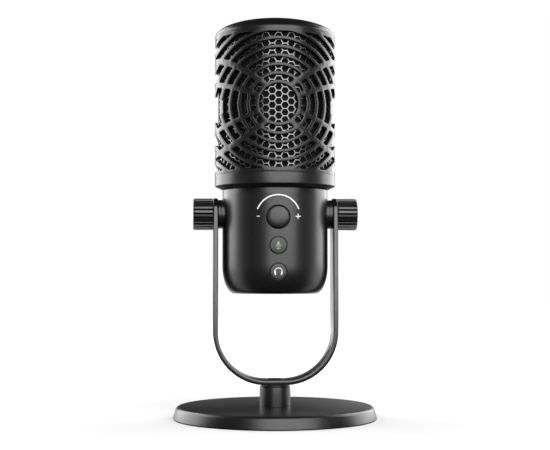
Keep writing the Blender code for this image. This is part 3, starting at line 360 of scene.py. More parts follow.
fit(turned("stand_post", POST_OUTLINE, POST_SIDES, powder_coat), "stand", "powder_coat", "base_post")
fit(turned("thrust_washer", WASHER_OUTLINE, POST_SIDES, nylon), "stand", "nylon", "swivel_washer")
swivel_screw = turned("swivel_screw", SCREW_OUTLINE, SCREW_SIDES, black_oxide)
socket_span = (SCREW_TOP - SOCKET_DEPTH, SCREW_TOP + CUT_OVERRUN)
cut(swivel_screw, rod(SOCKET_ACROSS / sqrt(3), *socket_span, SOCKET_SIDES))
fit(swivel_screw, "stand", "zinc_steel", "yoke_screw")

# Yoke: a flat steel strap with rounded edges and round ends, bent into a U, drilled for the
# screw and the two clamp studs, and powder coated in a smoother batch than the base it turns on.
STRAP_THICK = 2.7
STRAP_HALF = 8.65
STRAP_EDGE = 0.65
STRAP_CREASE = 40
FLOOR_HALF = 4.95
BEND_RADIUS = 27.2
YOKE_FLOOR = 18.45
PIVOT = 109.7
BEND_CENTRE = YOKE_FLOOR + STRAP_THICK / 2 + BEND_RADIUS
BEND_END = FLOOR_HALF + BEND_RADIUS * pi / 2
PIVOT_ALONG = BEND_END + PIVOT - BEND_CENTRE
FLOOR_STEPS = 3
BEND_STEPS = 32
LEG_STEPS = 24
END_STEPS = 14
EDGE_STEPS = 10
SEAT_RADIUS = 5.2
SEAT_DEPTH = 2.1
SEAT_HOLE = 3.1
STUD_HOLE = 3.35
STUD_SPAN = (-36, 36)
AXIS_RIGHT = Matrix.Translation((0, 0, PIVOT * MM)) @ Matrix.Rotation(pi / 2, 4, "Y")
AXIS_LEFT = Matrix.Translation((0, 0, PIVOT * MM)) @ Matrix.Rotation(-pi / 2, 4, "Y")
# Semi-gloss powder coat: it flows out on the narrow strap, so that the flat edges shine while
# the rounded corners stay dark.
strap_coat = grained(
    "semi_gloss_black_powder_coat", SATIN_BLACK, (0.16, 0.2), grain=1.5, relief=0.002, specular=0.65
)


def bent(along, across, out):
    """Where a point of the flat strap goes when the strap is bent into its U."""
    side = copysign(1, along)
    run = abs(along)
    turn = min(max((run - FLOOR_HALF) / BEND_RADIUS, 0), pi / 2)
    x = min(run, FLOOR_HALF) + (BEND_RADIUS + out) * sin(turn)
    z = BEND_CENTRE - (BEND_RADIUS + out) * cos(turn) + max(run - BEND_END, 0)
    return Vector((side * x, across, z)) * MM


def strap_edge(inset):
    """One side of the flat strap's outline, from end to end, drawn in by an inset."""
    half = STRAP_HALF - inset
    places = [0.0]
    for end, steps in ((FLOOR_HALF, FLOOR_STEPS), (BEND_END, BEND_STEPS), (PIVOT_ALONG, LEG_STEPS)):
        places += list(np.linspace(places[-1], end, steps + 1)[1:])
    points = [(along, half) for along in places]
    for turn in np.linspace(0, pi / 2, END_STEPS + 1)[1:]:
        points.append((PIVOT_ALONG + half * sin(turn), half * cos(turn)))
    return [(-along, across) for along, across in points[:0:-1]] + points


levels = []
flat_half = STRAP_THICK / 2 - STRAP_EDGE
for turn in np.linspace(0, pi, EDGE_STEPS + 1):
    out = flat_half + STRAP_EDGE * abs(cos(turn))
    levels.append((STRAP_EDGE * (1 - sin(turn)), copysign(out, cos(turn))))
middle = len(levels) // 2
levels[middle : middle + 1] = [(0, flat_half), (0, -flat_half)]
shape = bmesh.new()
loops = []
for inset, out in levels:
    side = strap_edge(inset)
    loop = [shape.verts.new(bent(along, -across, out)) for along, across in side]
    loop += [shape.verts.new(bent(along, across, out)) for along, across in side[-2:0:-1]]
    loops.append(loop)
for low, high in zip(loops, loops[1:]):
    for i in range(len(low)):
        shape.faces.new((low[i - 1], low[i], high[i], high[i - 1]))
for loop in (loops[0], loops[-1]):
    for i in range(len(side) - 1):
        rungs = (loop[i], loop[i + 1], loop[-i - 1], loop[-i])
        shape.faces.new(list(dict.fromkeys(rungs)))
bmesh.ops.recalc_face_normals(shape, faces=shape.faces)
yoke_strap = finished("yoke_strap", shape, strap_coat, STRAP_CREASE)
floor_top = YOKE_FLOOR + STRAP_THICK
seat = (
    (0, floor_top + CUT_OVERRUN),
    (SEAT_RADIUS, floor_top + CUT_OVERRUN),
    (SEAT_RADIUS, floor_top),
    (SEAT_HOLE, floor_top - SEAT_DEPTH),
    (SEAT_HOLE, YOKE_FLOOR - CUT_OVERRUN),
    (0, YOKE_FLOOR - CUT_OVERRUN),
)
cut(yoke_strap, turning(seat, SCREW_SIDES))
cut(yoke_strap, rod(STUD_HOLE, *STUD_SPAN, SCREW_SIDES, AXIS_RIGHT))
fit(yoke_strap, "yoke", "powder_coat", "yoke")

# Body: a deep moulded cup in satin black ABS with a rounded foot and a flat rim under it, a round
# boss on each side for the tilt clamp and three control holes down its front, open at both ends.
BODY_SIDES = 192
BODY_RADIUS = 28.4
BODY_INSIDE = 26.4
BODY_TOP = 122.55
BODY_TOP_ROUND = 0.25
BODY_TOP_EASE = 0.07
WALL_STEPS = 14
FOOT_RADIUS = 22.0
FOOT_CENTRE = 82.1
FOOT_DROP = 15.0
FOOT_STEPS = 20
LEDGE = ((20.0, 67.1), (20.0, 69.4), (15.0, 69.4), (15.0, 71.8))
INNER_CENTRE = (20.0, 81.1)
INNER_DROP = 9.3
INNER_STEPS = 8
HOLE_SIDES = 96
BOSS_OUTLINE = ((0, 29.0, 0), (7.8, 29.0, 0.1), (7.8, 22.4, 0), (0, 22.4, 0))
INSERT_HOLE = 4.5
INSERT_SPAN = (-31, 31)
VOLUME_HEIGHT = 107.2
MUTE_HEIGHT = 92.5
MONITOR_HEIGHT = 78.9
CONTROL_HOLES = ((6.4, VOLUME_HEIGHT), (4.8, MUTE_HEIGHT), (4.65, MONITOR_HEIGHT))
CONTROL_SPAN = (20, 32)
# ABS: injection moulded in a fine spark-eroded tool. It is near black, and a texture drawn at
# 0.9 mm, coarser than the real one so that it shows, spreads the lamps into soft even bands.
black_abs = grained("satin_black_abs", SATIN_BLACK, (0.29, 0.35), grain=0.9, relief=0.004)


def front(height):
    """Turns a shape's axis to the front, at a height on the body."""
    return Matrix.Translation((0, 0, height * MM)) @ Matrix.Rotation(pi / 2, 4, "X")


def arc(centre, radii, start, end, steps):
    """Points along part of an ellipse, angles in degrees."""
    turns = np.radians(np.linspace(start, end, steps + 1))
    return [(centre[0] + radii[0] * cos(a), centre[1] + radii[1] * sin(a)) for a in turns]


outline = [(BODY_RADIUS - BODY_TOP_ROUND, BODY_TOP)]
outline += [(BODY_RADIUS - BODY_TOP_EASE, BODY_TOP - BODY_TOP_EASE)]
outline += [(BODY_RADIUS, z) for z in np.linspace(BODY_TOP - BODY_TOP_ROUND, FOOT_CENTRE, WALL_STEPS + 1)]
foot_radii = (BODY_RADIUS - FOOT_RADIUS, FOOT_DROP)
outline += arc((FOOT_RADIUS, FOOT_CENTRE), foot_radii, 0, -90, FOOT_STEPS)[1:]
outline += LEDGE
outline += arc(INNER_CENTRE, (BODY_INSIDE - INNER_CENTRE[0], INNER_DROP), -90, 0, INNER_STEPS)
outline += [(BODY_INSIDE, BODY_TOP)]
body_cup = finished("body_cup", turning(outline, BODY_SIDES), black_abs)
for side in (AXIS_LEFT, AXIS_RIGHT):
    cut(body_cup, turning(filleted(BOSS_OUTLINE), HOLE_SIDES, side), "UNION")
cut(body_cup, rod(INSERT_HOLE, *INSERT_SPAN, SCREW_SIDES, AXIS_RIGHT))
for radius, height in CONTROL_HOLES:
    cut(body_cup, rod(radius, *CONTROL_SPAN, HOLE_SIDES, front(height)), wall=rubber)
fit(body_cup, "microphone", "black_plastic", "body_shell")

# Foot plate: an ABS disc let into the foot of the body and held by two small plated screws with
# crossed slots. Through it show a nickel-plated USB shell with its nylon tongue and a nylon jack.
PLATE_SIDES = 128
PLATE_FACE = 67.1
PLATE_OUTLINE = ((0, 69.1, 0), (19.7, 69.1, 0), (19.7, PLATE_FACE, 0.3), (0, PLATE_FACE, 0))
PLATE_CUT = (66, 70)
USB_PLACE = (-6.5, 3.0)
USB_OPENING = (9.54, 3.86)
USB_OUTSIDE = (8.94, 3.26)
USB_MOUTH = (8.34, 2.66)
USB_SPAN = (67.6, 74.7)
USB_FLOOR = 73.7
USB_TONGUE = (6.2, 0.7)
USB_TONGUE_SPAN = (68.1, 74.0)
JACK_PLACE = (7.0, 3.0)
JACK_OPENING = 3.3
JACK_OUTLINE = (
    (0, 74.7, 0), (3.0, 74.7, 0), (3.0, 67.6, 0.2), (1.8, 67.6, 0.25), (1.8, 73.9, 0), (0, 73.9, 0)
)
PLATE_SCREW_SIDES = 32
PLATE_SCREW_X = 17.5
PLATE_SCREW_SINK = ((0, 71), (1.2, 71), (1.2, 68.4), (2.1, 68.4), (2.1, 66), (0, 66))
PLATE_SCREW_OUTLINE = (
    (0, PLATE_FACE, 0),
    (1.8, PLATE_FACE, 0.45),
    (1.8, 68.1, 0),
    (0.9, 68.1, 0),
    (0.9, 71.7, 0.2),
    (0, 71.7, 0),
)
SLOT_WIDTH = 0.5
SLOT_LENGTH = 2.2
SLOT_DEPTH = 0.6
OVAL_STEPS = 16
# Nickel plate: a warm bright metal with fine drawing lines, here a 0.7 mm cloud in its gloss.
nickel = grained(
    "nickel_plated_steel", ("#b7b4ad", "#c1beb7"), (0.24, 0.3), grain=0.7, relief=0.001, metallic=1.0
)


def beside(x, y):
    """Shifts a shape across the microphone, in millimetres."""
    return Matrix.Translation((x * MM, y * MM, 0))


def bar(width, depth, low, high, place=Matrix()):
    """A square-cornered bar about the Z axis, in millimetres."""
    shape = bmesh.new()
    bmesh.ops.create_cube(shape, size=1)
    sizes = Matrix.Diagonal((width, depth, high - low, 1))
    lift = Matrix.Translation((0, 0, (low + high) / 2))
    bmesh.ops.transform(shape, matrix=place @ Matrix.Scale(MM, 4) @ lift @ sizes, verts=shape.verts)
    return shape


def oval(width, depth, low, high, place=Matrix()):
    """A bar with half-round ends about the Z axis, in millimetres."""
    shape = bmesh.new()
    half, ends = (width - depth) / 2, (depth / 2, depth / 2)
    edge = arc((half, 0), ends, -90, 90, OVAL_STEPS) + arc((-half, 0), ends, 90, 270, OVAL_STEPS)
    foot, head = ([shape.verts.new((x, y, z)) for x, y in edge] for z in (low, high))
    for i in range(len(edge)):
        shape.faces.new((foot[i - 1], foot[i], head[i], head[i - 1]))
    shape.faces.new(foot[::-1])
    shape.faces.new(head)
    bmesh.ops.transform(shape, matrix=place @ Matrix.Scale(MM, 4), verts=shape.verts)
    return shape


usb_place, jack_place = beside(*USB_PLACE), beside(*JACK_PLACE)
foot_plate = turned("foot_plate", PLATE_OUTLINE, PLATE_SIDES, black_abs)
cut(foot_plate, oval(*USB_OPENING, *PLATE_CUT, usb_place))
cut(foot_plate, rod(JACK_OPENING, *PLATE_CUT, SCREW_SIDES, jack_place))
for x in (-PLATE_SCREW_X, PLATE_SCREW_X):
    cut(foot_plate, turning(PLATE_SCREW_SINK, PLATE_SCREW_SIDES, beside(x, 0)))
fit(foot_plate, "microphone", "black_plastic", "bottom_plate")
jack_barrel = turned("jack_barrel", JACK_OUTLINE, SCREW_SIDES, nylon, jack_place)
fit(jack_barrel, "microphone", "nylon", "headphone_jack")
usb_shell = finished("usb_shell", oval(*USB_OUTSIDE, *USB_SPAN, usb_place), nickel)
cut(usb_shell, oval(*USB_MOUTH, PLATE_CUT[0], USB_FLOOR, usb_place), wall=nylon)
fit(usb_shell, "microphone", "nickel", "usb_socket")
fit(finished("usb_tongue", bar(*USB_TONGUE, *USB_TONGUE_SPAN, usb_place), nylon), "microphone", "nylon")


def node_tree(name, values):
    """An empty shape tree with an input for each named value after its mesh, and their sockets."""
    tree = bpy.data.node_groups.new(name, "GeometryNodeTree")
    tree.interface.new_socket("Mesh", in_out="INPUT", socket_type="NodeSocketGeometry")
    for label, value in values.items():
        kind = type(value).__name__.title()
        tree.interface.new_socket(label, in_out="INPUT", socket_type=f"NodeSocket{kind}")
    tree.interface.new_socket("Mesh", in_out="OUTPUT", socket_type="NodeSocketGeometry")
    return tree, add(tree, "NodeGroupInput").outputs


def close_tree(tree, mesh, material):
    """Ends a shape tree: its instances made real and its finish set."""
    real = add(tree, "GeometryNodeRealizeInstances", (mesh,))
    dressed = add(tree, "GeometryNodeSetMaterial", {"Geometry": real, "Material": material})
    add(tree, "NodeGroupOutput", (dressed,))


def grown(piece, tree, values):
    """Runs a shape tree on a piece with its inputs set by identifier, and keeps the mesh."""
    modifier = piece.modifiers.new(tree.name, "NODES")
    sockets = {s.name: s.identifier for s in tree.interface.items_tree if s.in_out == "INPUT"}
    modifier.node_group = tree
    for name, value in values.items():
        modifier[sockets[name]] = value
    settle(piece)


# The foot screws are one turned and slotted screw, set at two points by a node tree.
one_screw = turned("one_screw", PLATE_SCREW_OUTLINE, PLATE_SCREW_SIDES, zinc)
for width, depth in ((SLOT_LENGTH, SLOT_WIDTH), (SLOT_WIDTH, SLOT_LENGTH)):
    cut(one_screw, bar(width, depth, PLATE_CUT[0], PLATE_FACE + SLOT_DEPTH))
screw_parts = {"Screw": one_screw, "Finish": zinc}
tree, given = node_tree("screws_at_points", screw_parts)
screw = add(tree, "GeometryNodeObjectInfo", (given["Screw"],))
set_down = {"Points": given["Mesh"], "Instance": screw.outputs["Geometry"]}
spread = add(tree, "GeometryNodeInstanceOnPoints", set_down)
close_tree(tree, spread, given["Finish"])
shape = bmesh.new()
for x in (-PLATE_SCREW_X, PLATE_SCREW_X):
    shape.verts.new((x * MM, 0, 0))
foot_screws = finished("foot_screws", shape, zinc)
grown(foot_screws, tree, screw_parts)
bpy.data.objects.remove(one_screw, do_unlink=True)
fit(foot_screws, "microphone", "zinc_steel", "bottom_screw_left", "bottom_screw_right")

# Inside the body: two glass-epoxy circuit boards with their screws, the encoder, two push
# switches and the mute lamp, all as packed and out of sight behind the shell.
TRACE_PITCH = 1.27
TRACE_GAP = 0.12
TRACE_RUN = 3.0
TRACE_RISE = 0.03
MASK_GLOSS = 0.3
# Solder mask: a glossy green lacquer over copper, which shows paler where the traces run.
board_mask, tree, place = bare("green_solder_mask")
traces = add(
    tree,
    "ShaderNodeTexBrick",
    {
        "Vector": place,
        "Color1": linear("#1f6b3a"),
        "Color2": linear("#1a5a31"),
        "Mortar": linear("#2f8a50"),
        "Scale": 1 / (TRACE_PITCH * MM),
        "Mortar Size": TRACE_GAP,
        "Brick Width": TRACE_RUN,
        "Row Height": 1.0,
    },
)
raised = add(tree, "ShaderNodeBump", {"Height": traces.outputs["Fac"], "Distance": TRACE_RISE * MM})
lacquer = {"Base Color": traces.outputs["Color"], "Roughness": MASK_GLOSS, "Normal": raised}
shader = add(tree, "ShaderNodeBsdfPrincipled", lacquer)
add(tree, "ShaderNodeOutputMaterial", {"Surface": shader})
# Epoxy lens: clear cast resin with a milky bloom in 0.5 mm cells.
lamp_resin = grained("milky_epoxy_resin", ("#dfe8dc", "#eef4ea"), (0.12, 0.2), grain=0.5, relief=0.001)
dress(board_mask, "port_board", "control_board")
dress(zinc, "port_screw_left", "port_screw_right", "board_screw_left", "board_screw_right")
dress(zinc, "volume_shaft")
dress(nylon, "volume_encoder", "mute_switch", "monitor_switch")
dress(lamp_resin, "mute_led")

# Front controls: a round volume knob with a domed face and two round push buttons, moulded in
# dark grey ABS, each set in its own hole with a thin gap all round.
VOLUME_RADIUS = 5.7
VOLUME_SHOULDER = 29.0
VOLUME_CROWN = 0.98
VOLUME_STEPS = 18
VOLUME_BACK = ((VOLUME_RADIUS, 25.0), (3.2, 25.0), (3.2, 28.0), (0, 28.0))
BUTTON_SIDES = 72
BUTTON_FACE = 28.5
BUTTON_CROWN = 0.04
BUTTON_ROUND = 0.4
FLANGE_WIDTH = 1.02
FLANGE_THICK = 1.0
TAIL_RADIUS = 1.8
TAIL_END = 18.2
BUTTONS = (("mute", 4.38, 24.6, MUTE_HEIGHT), ("monitor", 4.23, 24.0, MONITOR_HEIGHT))
# Button ABS: a dark grey batch with a fine matt texture, so the icons stand out on it.
button_abs = grained("dark_grey_abs", ("#0e0e0f", "#121213"), (0.3, 0.38), grain=0.6, relief=0.004)
outline = arc((0, VOLUME_SHOULDER), (VOLUME_RADIUS, VOLUME_CROWN), 90, 0, VOLUME_STEPS)
dial = turning([*outline, *VOLUME_BACK], HOLE_SIDES, front(VOLUME_HEIGHT))
fit(finished("volume_dial", dial, button_abs), "volume", "knob_plastic", "volume_knob")

# A button is its cap, a flange that retains it and a tail that reaches its switch.
for name, radius, flange_front, height in BUTTONS:
    flange, flange_back = radius + FLANGE_WIDTH, flange_front - FLANGE_THICK
    corners = (
        (0, BUTTON_FACE, 0),
        (radius, BUTTON_FACE - BUTTON_CROWN, BUTTON_ROUND),
        (radius, flange_front, 0),
        (flange, flange_front, 0),
        (flange, flange_back, 0),
        (TAIL_RADIUS, flange_back, 0),
        (TAIL_RADIUS, TAIL_END, 0),
        (0, TAIL_END, 0),
    )
    push = turned(f"{name}_push", corners, BUTTON_SIDES, button_abs, front(height))
    fit(push, name, "button_plastic", f"{name}_button")

# Printed marks: pad-printed ink on the plastic, a white sweep over the volume knob with a
# minus and a plus at its ends, a pale green microphone and a white pair of headphones.
INK_PROUD = 0.03
INK_DEPTH = 0.08
CAP_STEPS = 8
SWEEP_RADIUS = 11.5
SWEEP_WIDTH = 0.6
SWEEP_ENDS = (22, 158)
SWEEP_STEPS = 64
SIGN_OUT = 10.4
SIGN_RISE = 0.35
PLUS_HALF = 1.2
MINUS_HALF = 0.6
SIGN_WIDTH = 0.42
HEAD_WIDTH = 1.15
STAND_WIDTH = 0.36
ARCH_WIDTH = 0.3
EAR_WIDTH = 0.7
# Pad-print ink: a thin even film, matt and slightly chalky, with a grain of 0.4 mm.
white_ink = grained("white_pad_print_ink", ("#ececec", "#f8f8f8"), (0.5, 0.6), grain=0.4, relief=0.001)
green_ink = grained("pale_green_pad_print_ink", ("#8c9988", "#98a594"), (0.5, 0.6), grain=0.4, relief=0.001)


def inked(name, strokes, height, lie, ink):
    """Ink strokes with round ends about a height: runs of points, each with its line width."""
    shape = bmesh.new()

    def lay(spots):
        return [shape.verts.new(lie(spot.x, spot.y + height)) for spot in spots]

    for points, width in strokes:
        run = [Vector(p) for p in points]
        sides = ([], [])
        for i, point in enumerate(run):
            along = (run[min(i + 1, len(run) - 1)] - run[max(i - 1, 0)]).normalized()
            out = Vector((-along.y, along.x)) * width / 2
            sides[0].append(point + out)
            sides[1].append(point - out)
        left, right = lay(sides[0]), lay(sides[1])
        for i in range(len(run) - 1):
            shape.faces.new((left[i], left[i + 1], right[i + 1], right[i]))
        for end, towards in ((0, -1), (-1, 1)):
            spoke = (sides[0][end] - sides[1][end]) / 2
            ahead = Vector((spoke.y, -spoke.x)) * towards
            turns = np.linspace(0, pi, CAP_STEPS + 1)[1:-1]
            cap = lay([run[end] + spoke * cos(a) + ahead * sin(a) for a in turns])
            shape.faces.new([left[end], *cap, right[end]])
    bmesh.ops.recalc_face_normals(shape, faces=shape.faces)
    for face in shape.faces:
        if face.normal.y > 0:
            face.normal_flip()
    bmesh.ops.solidify(shape, geom=shape.faces, thickness=INK_DEPTH * MM)
    return finished(name, shape, ink)


def on_body(x, z):
    """A place on the front of the body's wall, just proud of it."""
    return Vector((x, -sqrt((BODY_RADIUS + INK_PROUD) ** 2 - x * x), z)) * MM


def on_button(x, z):
    """A place on the flat face of a push button, just proud of it."""
    return Vector((x, -BUTTON_FACE - INK_PROUD, z)) * MM


def ruled(start, end, steps=6):
    """Points along a straight line."""
    return [Vector(start).lerp(Vector(end), i / steps) for i in range(steps + 1)]


level_marks = [
    (arc((0, 0), (SWEEP_RADIUS, SWEEP_RADIUS), *SWEEP_ENDS, SWEEP_STEPS), SWEEP_WIDTH),
    (ruled((-SIGN_OUT - MINUS_HALF, SIGN_RISE), (-SIGN_OUT + MINUS_HALF, SIGN_RISE)), SIGN_WIDTH),
    (ruled((SIGN_OUT - PLUS_HALF, SIGN_RISE), (SIGN_OUT + PLUS_HALF, SIGN_RISE)), SIGN_WIDTH),
]
for way in (1, -1):
    near, far = SIGN_RISE + way * SIGN_WIDTH / 2, SIGN_RISE + way * PLUS_HALF
    level_marks.append((ruled((SIGN_OUT, near), (SIGN_OUT, far)), SIGN_WIDTH))
fit(inked("volume_marks", level_marks, VOLUME_HEIGHT, on_body, white_ink), "microphone", "led_resin")
mic_strokes = [
    (ruled((0, 1.35), (0, 0.35)), HEAD_WIDTH),
    (arc((0, 0.2), (1.15, 1.15), 180, 360, 14), STAND_WIDTH),
    (ruled((0, -0.98), (0, -1.6)), STAND_WIDTH),
    (ruled((-0.85, -1.8), (0.85, -1.8)), STAND_WIDTH),
]
fit(inked("mute_icon", mic_strokes, MUTE_HEIGHT, on_button, green_ink), "mute", "led_resin")
headphone_strokes = [
    (arc((0, -0.15), (1.95, 1.95), 20, 160, 24), ARCH_WIDTH),
    (ruled((-1.85, 0.0), (-1.6, -1.5)), EAR_WIDTH),
    (ruled((1.85, 0.0), (1.6, -1.5)), EAR_WIDTH),
]
fit(inked("monitor_icon", headphone_strokes, MONITOR_HEIGHT, on_button, white_ink), "monitor", "led_resin")

# Tilt clamp: on each side a ribbed ABS knob on a plated stud, which pulls the yoke's leg on to
# a rubber spacer against the body's boss. The stud screws into a brass insert.
KNOB_RIBS = 24
KNOB_RIB_SIDES = 16
KNOB_RIB_DEPTH = 1.0
KNOB_GROOVE_SHARE = 0.47
KNOB_RADIUS = 8.5
KNOB_FLAT = 7.1
KNOB_OUTLINE = (
    (0, 44.2, 0),
    (KNOB_RADIUS, 44.2, 1.0),
    (KNOB_RADIUS, 33.63, 0.12),
    (6.3, 33.63, 0),
    (6.3, 34.7, 0),
    (3.05, 34.7, 0),
    (3.05, 41.2, 0),
    (0, 41.2, 0),
)
SPACER_SIDES = 72
SPACER_OUTLINE = ((3.35, 30.76, 0), (7.78, 30.76, 0.3), (7.78, 29.03, 0.1), (3.35, 29.03, 0))
# Knob ABS: the body's plastic from a polished tool, so that its ribs catch brighter lines.
knob_abs = grained(
    "glossy_black_abs", ("#09090a", "#0c0c0d"), (0.28, 0.34), grain=0.7, relief=0.004, specular=0.7
)
# Satin rubber: nitrile pressed in a polished tool, as sleek as the boss that it sits on.
spacer_rubber = grained("satin_black_nitrile_rubber", SATIN_BLACK, (0.3, 0.36), grain=0.6, relief=0.004)
# Brass: a turned insert, yellow and bright, with a 0.5 mm tool mark in its gloss.
brass = grained("turned_brass", ("#c9a55a", "#d8b86e"), (0.2, 0.34), grain=0.5, relief=0.003, metallic=1.0)

# The grip's ribs are pressed into the turned knob by angle about the tilt axis.
grip_sizes = {
    "Ribs": KNOB_RIBS,
    "Depth": KNOB_RIB_DEPTH * MM,
    "Groove half": KNOB_GROOVE_SHARE * pi,
    "Flat radius": KNOB_FLAT * MM,
    "Rim radius": KNOB_RADIUS * MM,
    "Axis height": PIVOT * MM,
    "Finish": knob_abs,
}
tree, given = node_tree("ribbed_grip", grip_sizes)
where = add(tree, "ShaderNodeSeparateXYZ", (add(tree, "GeometryNodeInputPosition"),))
above = add(tree, "ShaderNodeMath", (where.outputs["Z"], given["Axis height"]), operation="SUBTRACT")
turn = add(tree, "ShaderNodeMath", (where.outputs["Y"], above), operation="ARCTAN2")
radial = add(tree, "ShaderNodeCombineXYZ", {"Y": where.outputs["Y"], "Z": above})
phase = add(tree, "ShaderNodeMath", (turn, given["Ribs"]), operation="MULTIPLY")
fold = add(tree, "ShaderNodeMath", (phase, pi), operation="PINGPONG")
groove = add(tree, "ShaderNodeMapRange", (fold, 0.0, given["Groove half"], -1.0, 0.0))
away = add(tree, "ShaderNodeVectorMath", (radial,), operation="LENGTH").outputs["Value"]
reach = (away, given["Flat radius"], given["Rim radius"], 0.0, given["Depth"])
rim = add(tree, "ShaderNodeMapRange", reach)
press = add(tree, "ShaderNodeMath", (groove, rim), operation="MULTIPLY")
outwards = add(tree, "ShaderNodeVectorMath", (radial,), operation="NORMALIZE")
shift = add(tree, "ShaderNodeVectorMath", {0: outwards, "Scale": press}, operation="SCALE")
pressed = add(tree, "GeometryNodeSetPosition", {"Geometry": given["Mesh"], "Offset": shift})
close_tree(tree, pressed, given["Finish"])
for side, axis in (("left", AXIS_LEFT), ("right", AXIS_RIGHT)):
    grip = turned(f"clamp_grip_{side}", KNOB_OUTLINE, KNOB_RIB_SIDES * KNOB_RIBS, knob_abs, axis)
    grown(grip, tree, grip_sizes)
    fit(grip, f"{side}_knob", "knob_plastic", f"knob_{side}")
    spacer = turned(f"clamp_spacer_{side}", SPACER_OUTLINE, SPACER_SIDES, spacer_rubber, axis)
    fit(spacer, "microphone", "rubber", f"tilt_washer_{side}")
    dress(zinc, f"knob_stud_{side}")
    dress(nylon, f"knob_washer_{side}")
    dress(brass, f"pivot_insert_{side}")

# Head ring: one ABS moulding with a short neck cone painted a darker matt black as painted shade, a plain
# band and a floor, screwed down on the body from inside, with a thin lip that locates the grille cage.
HEAD_SIDES = 160
RING_OUTLINE = (
    (31.1, 131.6, 0),
    (31.6, 131.6, 0),
    (31.6, 130.4, 0),
    (32.5, 130.4, 0.04),
    (32.5, 124.7, 0.08),
    (28.4, 122.85, 0.15),
    (26.2, 122.85, 0),
    (26.2, 122.5, 0),
    (6.0, 122.5, 0),
    (6.0, 125.0, 0),
    (31.1, 125.0, 0),
)
HEAD_SCREW_CIRCLE = 23.0
HEAD_SCREW_TURNS = (90, 210, 330)
HEAD_SCREW_HOLE = 1.6
HEAD_SCREW_SPAN = (121, 127)
HEAD_SCREW_SIDES = 24
NECK_CONE = (122.9, 124.66)
# Matt ABS: the neck's cone is left as rough as its tool and painted a darker, duller black than the band,
# painted shade so that it stays black under the band.
neck_cone_painted_shade_abs = grained(
    "matt_black_abs", ("#060606", "#090909"), (0.6, 0.7), grain=0.9, relief=0.004, specular=0.2
)
neck_band = turned("neck_band", RING_OUTLINE, HEAD_SIDES, black_abs)
for turn in np.radians(HEAD_SCREW_TURNS):
    across = HEAD_SCREW_CIRCLE * Vector((cos(turn), sin(turn)))
    cut(neck_band, rod(HEAD_SCREW_HOLE, *HEAD_SCREW_SPAN, HEAD_SCREW_SIDES, beside(*across)))
# The cone's outer faces take the painted shade.
neck_band.data.materials.append(neck_cone_painted_shade_abs)
for face in neck_band.data.polygons:
    on_cone = NECK_CONE[0] < face.center.z / MM < NECK_CONE[1]
    if on_cone and face.center.xy.length > BODY_RADIUS * MM:
        face.material_index = 1
fit(neck_band, "microphone", "black_plastic", "head_ring")
dress(zinc, "head_screw_1", "head_screw_2", "head_screw_3")

# Capsule: a plated electret in a rubber cradle on a hollow nylon stem, behind the foam, where
# it stays as packed.
dress(nickel, "capsule")
dress(rubber, "capsule_cradle")
dress(nylon, "capsule_stem")

# Foam liner: a sleeve of open-cell polyurethane pushed inside the mesh against wind noise,
# black and matt, with a torn, uneven skin.
FOAM_ROWS = 60
FOAM_SIDES = 120
FOAM_OUTSIDE = 29.95
FOAM_INSIDE = 27.0
FOAM_SPAN = (125.3, 203.9)
FOAM_UNEVEN = 0.25
FOAM_CELL = 1.0
FOAM_PIT = 0.3
STRUT_SHARE = 0.35
SMOOTH_ALL = 180
# Open-cell foam: cells of about 1 mm between thin matt struts, each pit pressed in and painted darker than
# its struts as painted shade.
foam_finish, tree, place = bare("black_open_cell_polyurethane")
sponge = {"Vector": place, "Scale": 1 / (FOAM_CELL * MM)}
cells = add(tree, "ShaderNodeTexVoronoi", sponge, feature="DISTANCE_TO_EDGE")
pit_relief_and_shade = add(tree, "ShaderNodeMapRange", {"Value": cells.outputs["Distance"], "From Max": STRUT_SHARE})
colour = add(tree, "ShaderNodeMix", {0: pit_relief_and_shade, 6: linear("#161616"), 7: linear("#040404")}, data_type="RGBA")
raised = add(tree, "ShaderNodeBump", {"Height": pit_relief_and_shade, "Distance": FOAM_PIT * MM}, invert=True)
struts = {"Base Color": colour.outputs[2], "Roughness": 0.95, "Specular IOR Level": 0.15, "Normal": raised}
shader = add(tree, "ShaderNodeBsdfPrincipled", struts)
add(tree, "ShaderNodeOutputMaterial", {"Surface": shader})
heights = np.linspace(*FOAM_SPAN, FOAM_ROWS)
sleeve = [(FOAM_OUTSIDE, z) for z in heights[::-1]] + [(FOAM_INSIDE, z) for z in heights]
shape = turning(sleeve, FOAM_SIDES)
uneven = np.random.default_rng(7).random(len(shape.verts))
for vert, share in zip(shape.verts, uneven):
    radius = vert.co.xy.length
    if radius > (FOAM_OUTSIDE + FOAM_INSIDE) / 2 * MM:
        vert.co.xy *= 1 - share * FOAM_UNEVEN * MM / radius
wind_foam = finished("wind_foam", shape, foam_finish, SMOOTH_ALL)
fit(wind_foam, "microphone", "foam", "foam_liner")

# Hex mesh: a sheet of steel punched with hexagons and rolled into a sleeve inside the cage. It
# is plated a dark grey, so its webs catch the lamps while the foam behind stays black.
MESH_COLUMNS = 58
MESH_ROWS = 20
MESH_BEND = 30.3
MESH_THICK = 0.4
MESH_WEB = 0.44
MESH_FIRST = 127.25
MESH_SEAM = 0.02
MESH_SPACING = tau * MESH_BEND / MESH_COLUMNS
MESH_PITCH = MESH_SPACING * 2 / sqrt(3)
MESH_HEIGHT = (MESH_ROWS - 1) * MESH_PITCH
